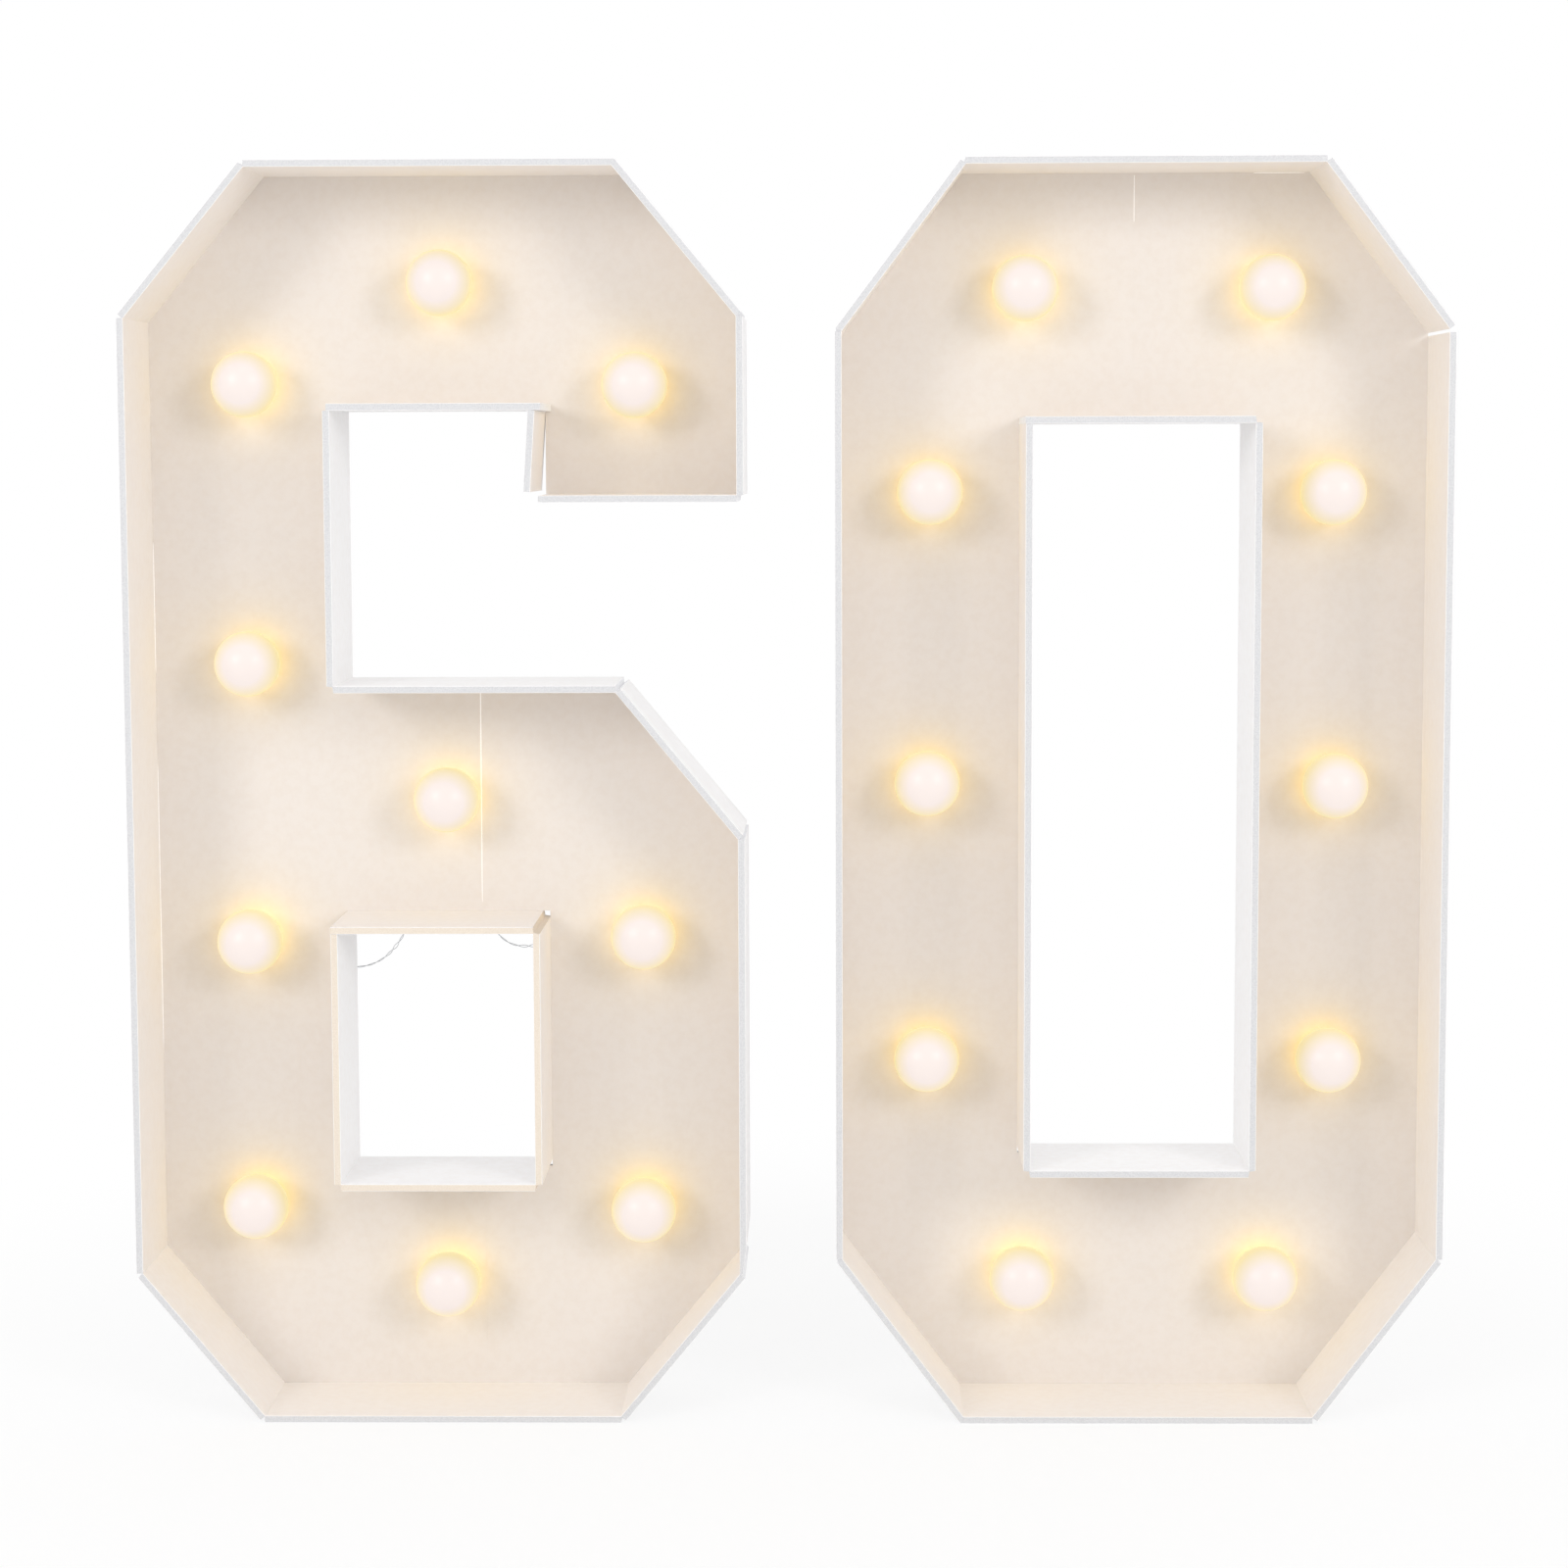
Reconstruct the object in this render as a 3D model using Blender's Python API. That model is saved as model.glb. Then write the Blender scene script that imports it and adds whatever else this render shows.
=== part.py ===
"""A light-up marquee number: a free-standing 6 and a free-standing 0, cut and folded from foam board.

Each digit is a shallow open tray. Its back is made of flat panels with a round hole for every globe,
and its rim is made of long board strips, kerfed part way through and folded round the corners.
A string of ten lamp holders hangs behind each digit, and a box of two cells feeds it.

Coordinates: X to the right, Y to the back, Z up, in metres. Inside a digit, u runs to the right from
the digit's left edge, z up from its foot, and depth to the back from the strips' front edges.
"""
import math

import bmesh
import bpy
from mathutils import Vector
from mathutils.geometry import interpolate_bezier

# Board and tray
DIGIT_HEIGHT = 0.914
SIX_WIDTH = 0.446
ZERO_WIDTH = 0.440
DIGIT_SPACING = 0.065
BOARD = 0.005
STRIP_DEPTH = 0.100
BACK_LIP = 0.004
FIT = 0.0003
SEAM = 0.0005
KERF_SKIN = 0.0006

# Outline of the six
SIX_COLUMN = 0.151
SIX_WINDOW_WIDTH = 0.1415
SIX_TOP_BAR = 0.1767
SIX_BOTTOM_BAR = 0.1773
SIX_MIDDLE_BAR = 0.1795
SIX_ARM_DROP = 0.0658
SIX_CORNER_WIDTH = 0.0925
SIX_CORNER_HEIGHT = 0.111
ARM_END_LENGTH = 0.0575
ARM_END_LEAN = math.radians(3.7)
ARM_EDGE_SHORT = 0.0021
NOTCH_STRIP_OVERHANG = 0.0038
NOTCH_STRIP_SHORT = 0.0028
SIX_SEAM_GAPE = 0.0009
CRUSHED_END_LENGTH = 0.020
CRUSHED_END_DEPTH = 0.003

# Outline of the zero
ZERO_COLUMN = 0.141
ZERO_BAR = 0.1875
ZERO_CORNER_WIDTH = 0.093
ZERO_CORNER_HEIGHT = 0.122
OPEN_CORNER_GAP = 0.0025

# The window's share of the height that the six's three bars leave; the notch has the rest
SIX_WINDOW_HEIGHT_SHARE = 0.48279

# Where strips and panels meet, as shares of the edge or the size that they divide
SIX_LEFT_SEAM_SHARE = 0.571
SIX_TOP_LEFT_SEAM_SHARE = 0.65
SIX_TOP_RIGHT_SEAM_SHARE = 0.63
SIX_PANEL_CROSS_SEAM_SHARE = 0.518
SIX_PANEL_UPRIGHT_SEAM_SHARE = 0.665
ZERO_RIGHT_SEAM_SHARE = 0.589
ZERO_PANEL_CROSS_SEAM_SHARE = 0.374
ZERO_PANEL_UPRIGHT_SEAM_SHARE = 0.495

# Globes and their holders
GLOBE_RADIUS = 0.024
GLOBE_STANDOFF = 0.031
GLOBE_WALL = 0.0015
GLOBE_NECK_RADIUS = 0.0125
SHOULDER_RADIUS = 0.0118
SPIGOT_RADIUS = 0.0097
SPIGOT_REACH = 0.0077
HOLDER_WALL = 0.002
HOLDER_BACK = 0.006
LAMP_RADIUS = 0.003
LAMP_REACH = 0.004
GLOBE_SEGMENTS = 14
GLOBE_RINGS = 6
GLOBE_INNER_RINGS = 3
HOLDER_SEGMENTS = 12

# Where each globe stands: shares of the way across its column and of the way up its bar or opening
SIX_GLOBE_SHARES = {
    "top": ("middle", 0.513, "head", 0.525),
    "left_1": ("left", 0.532, "head", 0.113),
    "right_1": ("right", 0.474, "head", 0.105),
    "left_2": ("left", 0.523, "notch", 0.064),
    "middle": ("middle", 0.519, "waist", 0.510),
    "left_3": ("left", 0.512, "window", 0.925),
    "right_2": ("right", 0.498, "window", 0.942),
    "left_4": ("left", 0.519, "foot", 0.833),
    "right_3": ("right", 0.491, "foot", 0.818),
    "foot": ("middle", 0.496, "foot", 0.501),
}
ZERO_GLOBE_SHARES = {
    "top_1": ("whole", 0.314, "head", 0.523),
    "top_2": ("whole", 0.721, "head", 0.522),
    "left_1": ("left", 0.492, "window", 0.909),
    "left_2": ("left", 0.479, "window", 0.513),
    "left_3": ("left", 0.477, "window", 0.132),
    "right_1": ("right", 0.453, "window", 0.907),
    "right_2": ("right", 0.480, "window", 0.509),
    "right_3": ("right", 0.459, "window", 0.131),
    "bottom_1": ("whole", 0.314, "foot", 0.499),
    "bottom_2": ("whole", 0.725, "foot", 0.499),
}

# Twisted pair that joins the holders, drawn as one round lead. Each run leaves one holder and enters
# the next along a handle, given along and across the straight way as shares of its length.
LEAD_RADIUS = 0.0008
LEAD_POINTS = 7
LEAD_SOCKET_DEPTH = 0.003
LEAD_ENTRY = 0.004
SIX_LEAD_SHARES = (
    ("left_4", "foot", (0.30, -0.30), (-0.30, -0.20)),
    ("foot", "right_3", (0.30, -0.20), (-0.35, -0.15)),
    ("right_3", "right_2", (0.30, -0.14), (-0.30, -0.14)),
    ("right_2", "middle", (0.416, 0.32), (-0.644, 0.611)),
    ("middle", "left_3", (0.474, 0.329), (-0.275, 0.579)),
    ("left_3", "left_2", (0.30, 0.12), (-0.30, 0.10)),
    ("left_2", "left_1", (0.30, -0.12), (-0.30, -0.14)),
    ("left_1", "top", (0.25, 0.20), (-0.30, -0.10)),
    ("top", "right_1", (0.30, 0.10), (-0.25, 0.20)),
)
ZERO_LEAD_SHARES = (
    ("right_3", "bottom_2", (0.30, 0.10), (-0.30, 0.15)),
    ("bottom_2", "bottom_1", (0.30, 0.20), (-0.30, 0.20)),
    ("bottom_1", "left_3", (0.30, 0.12), (-0.30, 0.15)),
    ("left_3", "left_2", (0.30, 0.10), (-0.30, 0.12)),
    ("left_2", "left_1", (0.30, -0.10), (-0.30, -0.10)),
    ("left_1", "top_1", (0.30, 0.12), (-0.30, -0.10)),
    ("top_1", "top_2", (0.30, -0.22), (-0.30, -0.22)),
    ("top_2", "right_1", (0.30, 0.10), (-0.30, 0.12)),
    ("right_1", "right_2", (0.30, 0.12), (-0.30, 0.10)),
)

# Battery box
CASE_WIDTH = 0.036
CASE_DEPTH = 0.0205
CASE_FLOOR = 0.0015
CASE_WALL = 0.002
CASE_EDGE = 0.001
SWITCH_END = 0.013
SIX_CASE_SHARE = 0.396
ZERO_CASE_SHARE = 0.283
COVER_THICKNESS = 0.0015
COVER_LIP = 0.0014
COVER_GROOVE = 0.001
COVER_RIB_LENGTH = 0.016
COVER_RIB_WIDTH = 0.0012
COVER_RIB_PITCH = 0.0026
COVER_RIB_HEIGHT = 0.0005
COVER_RIB_COUNT = 5
CELL_RADIUS = 0.0071
CELL_LENGTH = 0.0490
CELL_NUB_RADIUS = 0.00275
CELL_NUB_LENGTH = 0.0014
CELL_SEGMENTS = 16
CELL_RAIL_HEIGHT = 0.0025
CELL_RAIL_WIDTH = 0.001
CONTACT_THICKNESS = 0.0004
CONTACT_HEIGHT = 0.009
CONTACT_WIDTH = 0.010
CONTACT_SPRING = 0.0042
LEAF_FOOT_SHARE = 0.7
LEAF_CREST_SHARE = 0.2
SWITCH_SLOT_WIDTH = 0.0042
SWITCH_SLOT_DEPTH = 0.0025
SWITCH_KNOB_LENGTH = 0.005
SWITCH_TRAVEL = 0.0035
SWITCH_KNOB_PROUD = 0.0013
SWITCH_RIDGE_COUNT = 3
SWITCH_RIDGE_DEPTH = 0.0004

# Tools
CUT_OVERRUN = 0.003
MERGE = 0.000001
SMOOTH_ANGLE = math.radians(40)

SIX_FREE_HEIGHT = DIGIT_HEIGHT - SIX_TOP_BAR - SIX_MIDDLE_BAR - SIX_BOTTOM_BAR
SIX_WINDOW_HEIGHT = SIX_FREE_HEIGHT * SIX_WINDOW_HEIGHT_SHARE
PANEL_FRONT = STRIP_DEPTH - BACK_LIP - BOARD
PANEL_BACK = PANEL_FRONT + BOARD
HOLDER_FRONT = PANEL_BACK + FIT
HOLDER_FLOOR = HOLDER_FRONT + SPIGOT_REACH
LEAD_PLANE = HOLDER_FLOOR + HOLDER_BACK / 2.0
HOLDER_RADIUS = SPIGOT_RADIUS + FIT + HOLDER_WALL
CASE_FRONT = PANEL_BACK + FIT
OVERALL_DEPTH = CASE_FRONT + CASE_DEPTH + SWITCH_KNOB_PROUD
OVERALL_WIDTH = SIX_WIDTH + DIGIT_SPACING + ZERO_WIDTH
ZERO_WINDOW_WIDTH = ZERO_WIDTH - 2.0 * ZERO_COLUMN
ZERO_WINDOW_HEIGHT = DIGIT_HEIGHT - 2.0 * ZERO_BAR
CASE_HALF = CASE_WIDTH / 2.0
BAY_HALF = CASE_HALF - CASE_WALL
BAY_LOW = SWITCH_END + CASE_WALL
BAY_HIGH = BAY_LOW + CELL_LENGTH + CELL_NUB_LENGTH + CONTACT_THICKNESS + CONTACT_SPRING + 4.0 * FIT
CASE_LENGTH = BAY_HIGH + CASE_WALL
LIP_LOW = CASE_DEPTH - COVER_LIP
CHANNEL_LOW = LIP_LOW - COVER_THICKNESS - 2.0 * FIT
CHANNEL_HALF = BAY_HALF + COVER_GROOVE
SLOT_HALF = (SWITCH_KNOB_LENGTH + SWITCH_TRAVEL) / 2.0 + FIT
SLOT_FLOOR = CASE_DEPTH - SWITCH_SLOT_DEPTH


def material(name, colour, roughness, metallic=0.0, glow=0.0):
    """A Principled material, which also glows where glow is above zero."""
    made = bpy.data.materials.new(name)
    made.use_nodes = True
    shader = made.node_tree.nodes["Principled BSDF"]
    shader.inputs["Base Color"].default_value = (*colour, 1.0)
    shader.inputs["Roughness"].default_value = roughness
    shader.inputs["Metallic"].default_value = metallic
    shader.inputs["Emission Color"].default_value = (*colour, 1.0)
    shader.inputs["Emission Strength"].default_value = glow
    made.diffuse_color = (*colour, 1.0)
    return made


def add_object(name, mesh, finish, parent, place=(0.0, 0.0, 0.0)):
    """Links a mesh as an object of one material, at a place in its parent's frame."""
    made = bpy.data.objects.new(name, mesh)
    if not mesh.materials:
        mesh.materials.append(finish)
    bpy.context.scene.collection.objects.link(made)
    made.parent = parent
    made.location = place
    return made


def mesh_from(name, solid, smooth=False):
    """Turns a bmesh into a mesh with merged points and faces that point out."""
    bmesh.ops.remove_doubles(solid, verts=solid.verts, dist=MERGE)
    bmesh.ops.recalc_face_normals(solid, faces=solid.faces)
    mesh = bpy.data.meshes.new(name)
    solid.to_mesh(mesh)
    solid.free()
    if smooth:
        mesh.shade_smooth()
        mesh.set_sharp_from_angle(angle=SMOOTH_ANGLE)
    return mesh


def add_extrusion(solid, outline, axis, low, high):
    """Adds an outline, drawn in the two other axes, extruded along one axis from low to high."""
    others = [other for other in (0, 1, 2) if other != axis]
    corners = []
    for point in outline:
        place = [low, low, low]
        place[others[0]], place[others[1]] = point
        corners.append(solid.verts.new(place))
    face = solid.faces.new(corners)
    grown = bmesh.ops.extrude_face_region(solid, geom=[face])
    moved = [item for item in grown["geom"] if isinstance(item, bmesh.types.BMVert)]
    step = Vector((0.0, 0.0, 0.0))
    step[axis] = high - low
    bmesh.ops.translate(solid, verts=moved, vec=step)


def extrusion(name, outline, axis, low, high):
    """A mesh of one extruded outline."""
    solid = bmesh.new()
    add_extrusion(solid, outline, axis, low, high)
    return mesh_from(name, solid)


def rectangle(low, high):
    """The four corners of a rectangle between two opposite corners."""
    return [(low[0], low[1]), (high[0], low[1]), (high[0], high[1]), (low[0], high[1])]


def boxes(name, spans):
    """A mesh of boxes, each given by its low and its high corner."""
    solid = bmesh.new()
    for low, high in spans:
        add_extrusion(solid, rectangle(low[:2], high[:2]), 2, low[2], high[2])
    return mesh_from(name, solid)


def add_turning(solid, profile, segments, axis, centre=(0.0, 0.0, 0.0)):
    """Adds a profile of (radius, distance along the axis), spun a full turn; it starts and ends on the axis."""
    side = (axis + 1) % 3
    points = []
    for radius, along in profile:
        place = list(centre)
        place[axis] += along
        place[side] += radius
        points.append(solid.verts.new(place))
    edges = [solid.edges.new(pair) for pair in zip(points, points[1:])]
    spin_axis = Vector((0.0, 0.0, 0.0))
    spin_axis[axis] = 1.0
    bmesh.ops.spin(
        solid,
        geom=points + edges,
        cent=centre,
        axis=spin_axis,
        angle=math.tau,
        steps=segments,
        use_merge=True,
    )


def turning(name, profile, segments, axis):
    """A mesh of one turned profile, shaded smooth."""
    solid = bmesh.new()
    add_turning(solid, profile, segments, axis)
    return mesh_from(name, solid, smooth=True)


def rod(radius, low, high):
    """The profile of a plain rod, closed on its axis."""
    return [(0.0, low), (radius, low), (radius, high), (0.0, high)]


def clear_round(radius, segments):
    """The corner radius of a polygon that stays outside a circle of this radius."""
    return radius / math.cos(math.pi / segments)


def boolean(target, mesh, operation):
    """Cuts a hidden helper mesh out of the target, or joins it to the target."""
    helper = add_object(f"{target.name}_{operation.lower()}", mesh, None, target)
    helper.hide_render = True
    helper.display_type = "WIRE"
    step = target.modifiers.new(operation.title(), "BOOLEAN")
    step.operation = operation
    step.object = helper


def left_of(start, end):
    """The unit normal on the left of the way from start to end."""
    along = (Vector(end) - Vector(start)).normalized()
    return Vector((-along.y, along.x))


def mitre(before, after):
    """The way from a corner to where both edges have moved out by one unit along their normals."""
    return (before + after) / (1.0 + before.dot(after))


def inset(outline, distance):
    """A closed clockwise outline moved inwards, with each edge shifted by the distance."""
    moved = []
    for index, point in enumerate(outline):
        before = left_of(outline[index - 1], point)
        after = left_of(point, outline[(index + 1) % len(outline)])
        moved.append(tuple(Vector(point) - mitre(before, after) * distance))
    return moved


def along_edge(start, end, share):
    """The point at a share of the way from start to end."""
    return tuple(Vector(start).lerp(Vector(end), share))


def shortened(path, start_gap, end_gap):
    """A path with a small length taken off its first and its last run."""
    first, second = Vector(path[0]), Vector(path[1])
    last, previous = Vector(path[-1]), Vector(path[-2])
    start = first + (second - first).normalized() * start_gap
    end = last + (previous - last).normalized() * end_gap
    return [tuple(start)] + path[1:-1] + [tuple(end)]


def folded_strip(path, tight=()):
    """The end view of a strip whose inner face follows the path, with its thickness on the path's left.

    The board is cut through to its last skin at each fold, and the runs between folds end square.
    Where the path turns right the inner skin holds and the kerf opens outwards, and where it turns
    left the outer skin holds and the kerf opens inwards. A tight corner is mitred and shows no kerf.
    """
    inner = [Vector(path[0])]
    outer = [Vector(path[0]) + left_of(path[0], path[1]) * BOARD]
    for before, corner, after in zip(path, path[1:], path[2:]):
        first = left_of(before, corner)
        second = left_of(corner, after)
        slant = mitre(first, second)
        point = Vector(corner)
        if corner in tight:
            inner.append(point)
            outer.append(point + slant * BOARD)
        elif first.cross(second) < 0.0:
            inner.append(point)
            outer.append(point + first * BOARD)
            outer.append(point + slant * KERF_SKIN)
            outer.append(point + second * BOARD)
        else:
            hinge = point + slant * BOARD
            inner.append(hinge - first * BOARD)
            inner.append(hinge - slant * KERF_SKIN)
            inner.append(hinge - second * BOARD)
            outer.append(hinge)
    inner.append(Vector(path[-1]))
    outer.append(Vector(path[-1]) + left_of(path[-2], path[-1]) * BOARD)
    return [tuple(point) for point in inner + outer[::-1]]


def add_strip(name, path, finish, digit, tight=()):
    """A strip of board on edge, from the front of the tray to its back."""
    mesh = extrusion(name, folded_strip(path, tight), 1, 0.0, STRIP_DEPTH)
    return add_object(name, mesh, finish, digit)


def add_panel(name, outline, places, finish, digit):
    """A flat back panel with a hole for each globe that stands on it."""
    mesh = extrusion(name, outline, 1, PANEL_FRONT, PANEL_BACK)
    panel = add_object(name, mesh, finish, digit)
    hole = clear_round(SPIGOT_RADIUS + FIT, HOLDER_SEGMENTS)
    front = PANEL_FRONT - CUT_OVERRUN
    back = PANEL_BACK + CUT_OVERRUN
    drills = bmesh.new()
    for u, z in places:
        add_turning(drills, rod(hole, front, back), HOLDER_SEGMENTS, 1, (u, 0.0, z))
    boolean(panel, mesh_from(f"{name}_drills", drills), "DIFFERENCE")
    return panel


def six_edges():
    """The corners of the line between the six's panel and its rim strips, clockwise, by name."""
    right = SIX_WIDTH - BOARD
    top = DIGIT_HEIGHT - BOARD
    arm_left = SIX_COLUMN + SIX_WINDOW_WIDTH + BOARD
    arm_bottom = DIGIT_HEIGHT - SIX_TOP_BAR - SIX_ARM_DROP + BOARD
    notch_top = DIGIT_HEIGHT - SIX_TOP_BAR + BOARD
    ledge = SIX_BOTTOM_BAR + SIX_WINDOW_HEIGHT + SIX_MIDDLE_BAR
    return {
        "left_low": (BOARD, SIX_CORNER_HEIGHT),
        "left_high": (BOARD, DIGIT_HEIGHT - SIX_CORNER_HEIGHT),
        "top_left": (SIX_CORNER_WIDTH, top),
        "top_right": (SIX_WIDTH - SIX_CORNER_WIDTH, top),
        "arm_high": (right, DIGIT_HEIGHT - SIX_CORNER_HEIGHT),
        "arm_low": (right, arm_bottom),
        "arm_bottom": (arm_left, arm_bottom),
        "arm_root": (arm_left, notch_top),
        "notch_high": (SIX_COLUMN - BOARD, notch_top),
        "notch_low": (SIX_COLUMN - BOARD, ledge - BOARD),
        "ledge_right": (SIX_WIDTH - SIX_CORNER_WIDTH, ledge - BOARD),
        "bowl_high": (right, ledge - SIX_CORNER_HEIGHT),
        "bowl_low": (right, SIX_CORNER_HEIGHT),
        "foot_right": (SIX_WIDTH - SIX_CORNER_WIDTH, BOARD),
        "foot_left": (SIX_CORNER_WIDTH, BOARD),
    }


def grown(sides, distance):
    """A rectangle's four sides (left, bottom, right, top), each moved outwards."""
    left, bottom, right, top = sides
    return (left - distance, bottom - distance, right + distance, top + distance)


def window_path(left, bottom, right, top):
    """The path of a window's strip, anticlockwise from its butt joint at the top left corner."""
    return [
        (left, top - BOARD - FIT),
        (left, bottom),
        (right, bottom),
        (right, top),
        (left, top),
    ]


def add_six_strips(edge, finish, digit):
    """The nine rim strips of the six and the one round its window."""
    left_seam = along_edge(edge["left_low"], edge["left_high"], SIX_LEFT_SEAM_SHARE)
    top_left_seam = along_edge(edge["left_high"], edge["top_left"], SIX_TOP_LEFT_SEAM_SHARE)
    top_right_seam = along_edge(edge["top_right"], edge["arm_high"], SIX_TOP_RIGHT_SEAM_SHARE)
    arm_top = (edge["arm_root"][0], edge["arm_root"][1] - BOARD)
    notch_start = (edge["notch_high"][0], edge["notch_high"][1] - BOARD)
    half = SEAM / 2.0
    paths = {
        "six_strip_left_lower": shortened([edge["left_low"], left_seam], FIT, half),
        "six_strip_left_upper": shortened([left_seam, edge["left_high"], top_left_seam], half, half),
        "six_strip_top": shortened(
            [top_left_seam, edge["top_left"], edge["top_right"], top_right_seam], half, half
        ),
        "six_strip_arm": shortened(
            [top_right_seam, edge["arm_high"], edge["arm_low"], edge["arm_bottom"]],
            half,
            ARM_EDGE_SHORT,
        ),
        "six_strip_arm_end": leaning_path(arm_top),
        "six_strip_notch_top": [
            (edge["arm_root"][0] + NOTCH_STRIP_OVERHANG, edge["arm_root"][1]),
            (edge["notch_high"][0] + NOTCH_STRIP_SHORT, edge["notch_high"][1]),
        ],
        "six_strip_notch_ledge": shortened(
            [notch_start, edge["notch_low"], edge["ledge_right"], edge["bowl_high"]], FIT, FIT
        ),
        "six_strip_base": shortened(
            [edge["bowl_low"], edge["foot_right"], edge["foot_left"], edge["left_low"]], FIT, FIT
        ),
    }
    for name, path in paths.items():
        add_strip(name, path, finish, digit, tight=[edge["top_right"]])
    add_crushed_strip("six_strip_right", edge["bowl_high"], edge["bowl_low"], finish, digit)


def leaning_path(arm_top):
    """The loose strip at the arm's end, which hangs from the arm's root and leans out at its foot."""
    top = Vector(arm_top)
    top.y -= FIT + BOARD * math.sin(ARM_END_LEAN)
    foot = top - ARM_END_LENGTH * Vector((math.sin(ARM_END_LEAN), math.cos(ARM_END_LEAN)))
    return [tuple(foot), tuple(top)]


def add_crushed_strip(name, start, end, finish, digit):
    """A straight strip whose outer corner is pressed in along its lower end."""
    top = start[1] - FIT
    bottom = end[1] + FIT
    outline = [
        (start[0], top),
        (start[0] + BOARD, top),
        (start[0] + BOARD, bottom + CRUSHED_END_LENGTH),
        (start[0] + BOARD - CRUSHED_END_DEPTH, bottom),
        (start[0], bottom),
    ]
    return add_object(name, extrusion(name, outline, 1, 0.0, STRIP_DEPTH), finish, digit)


def add_six_panels(edge, window, places, finish, digit):
    """The three back panels of the six: the hook above the cross seam and two parts of the bowl."""
    names = list(edge)
    rim = dict(zip(names, inset([edge[name] for name in names], FIT)))
    left, bottom, right, top = grown(window, FIT)
    cross = edge["notch_low"][1] + (edge["notch_high"][1] - edge["notch_low"][1]) * SIX_PANEL_CROSS_SEAM_SHARE
    upright = window[0] + (window[2] - window[0]) * SIX_PANEL_UPRIGHT_SEAM_SHARE
    half = SEAM / 2.0
    relief = (edge["arm_root"][0] + NOTCH_STRIP_OVERHANG + FIT, edge["arm_root"][1] - BOARD - FIT)
    hook = [
        (rim["left_low"][0], cross + half),
        rim["left_high"],
        rim["top_left"],
        rim["top_right"],
        rim["arm_high"],
        rim["arm_low"],
        rim["arm_bottom"],
        (rim["arm_root"][0], relief[1]),
        relief,
        (relief[0], rim["arm_root"][1]),
        rim["notch_high"],
        (rim["notch_high"][0], cross + half),
    ]
    bowl_left = [
        rim["left_low"],
        (rim["left_low"][0], cross - half),
        (rim["notch_low"][0], cross - half),
        rim["notch_low"],
        (upright - half, rim["ledge_right"][1]),
        (upright - half, top),
        (left, top),
        (left, bottom),
        (upright - half, bottom),
        (upright - half, rim["foot_left"][1]),
        rim["foot_left"],
    ]
    bowl_right = [
        (upright + half + SIX_SEAM_GAPE, rim["ledge_right"][1]),
        rim["ledge_right"],
        rim["bowl_high"],
        rim["bowl_low"],
        rim["foot_right"],
        (upright + half, rim["foot_right"][1]),
        (upright + half, bottom),
        (right, bottom),
        (right, top),
        (upright + half, top),
    ]
    above = [place for place in places if place[1] > cross]
    below = [place for place in places if place[1] < cross]
    add_panel("six_panel_upper", hook, above, finish, digit)
    add_panel("six_panel_lower_left", bowl_left, [p for p in below if p[0] < upright], finish, digit)
    add_panel("six_panel_lower_right", bowl_right, [p for p in below if p[0] > upright], finish, digit)


def zero_edges():
    """The corners of the line between the zero's panel and its rim strips, clockwise, by name."""
    right = ZERO_WIDTH - BOARD
    top = DIGIT_HEIGHT - BOARD
    return {
        "left_low": (BOARD, ZERO_CORNER_HEIGHT),
        "left_high": (BOARD, DIGIT_HEIGHT - ZERO_CORNER_HEIGHT),
        "top_left": (ZERO_CORNER_WIDTH, top),
        "top_right": (ZERO_WIDTH - ZERO_CORNER_WIDTH, top),
        "right_high": (right, DIGIT_HEIGHT - ZERO_CORNER_HEIGHT),
        "right_low": (right, ZERO_CORNER_HEIGHT),
        "foot_right": (ZERO_WIDTH - ZERO_CORNER_WIDTH, BOARD),
        "foot_left": (ZERO_CORNER_WIDTH, BOARD),
    }


def add_zero_strips(edge, finish, digit):
    """The five rim strips of the zero. The right side leaves its top corner a little open."""
    right_seam = along_edge(edge["right_high"], edge["right_low"], ZERO_RIGHT_SEAM_SHARE)
    half = SEAM / 2.0
    paths = {
        "zero_strip_left": shortened([edge["left_low"], edge["left_high"]], FIT, FIT),
        "zero_strip_top": shortened(
            [edge["left_high"], edge["top_left"], edge["top_right"], edge["right_high"]], FIT, FIT
        ),
        "zero_strip_right_upper": shortened([edge["right_high"], right_seam], OPEN_CORNER_GAP, half),
        "zero_strip_right_lower": shortened([right_seam, edge["right_low"]], half, FIT),
        "zero_strip_base": shortened(
            [edge["right_low"], edge["foot_right"], edge["foot_left"], edge["left_low"]], FIT, FIT
        ),
    }
    for name, path in paths.items():
        add_strip(name, path, finish, digit, tight=[edge["foot_left"]])


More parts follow.
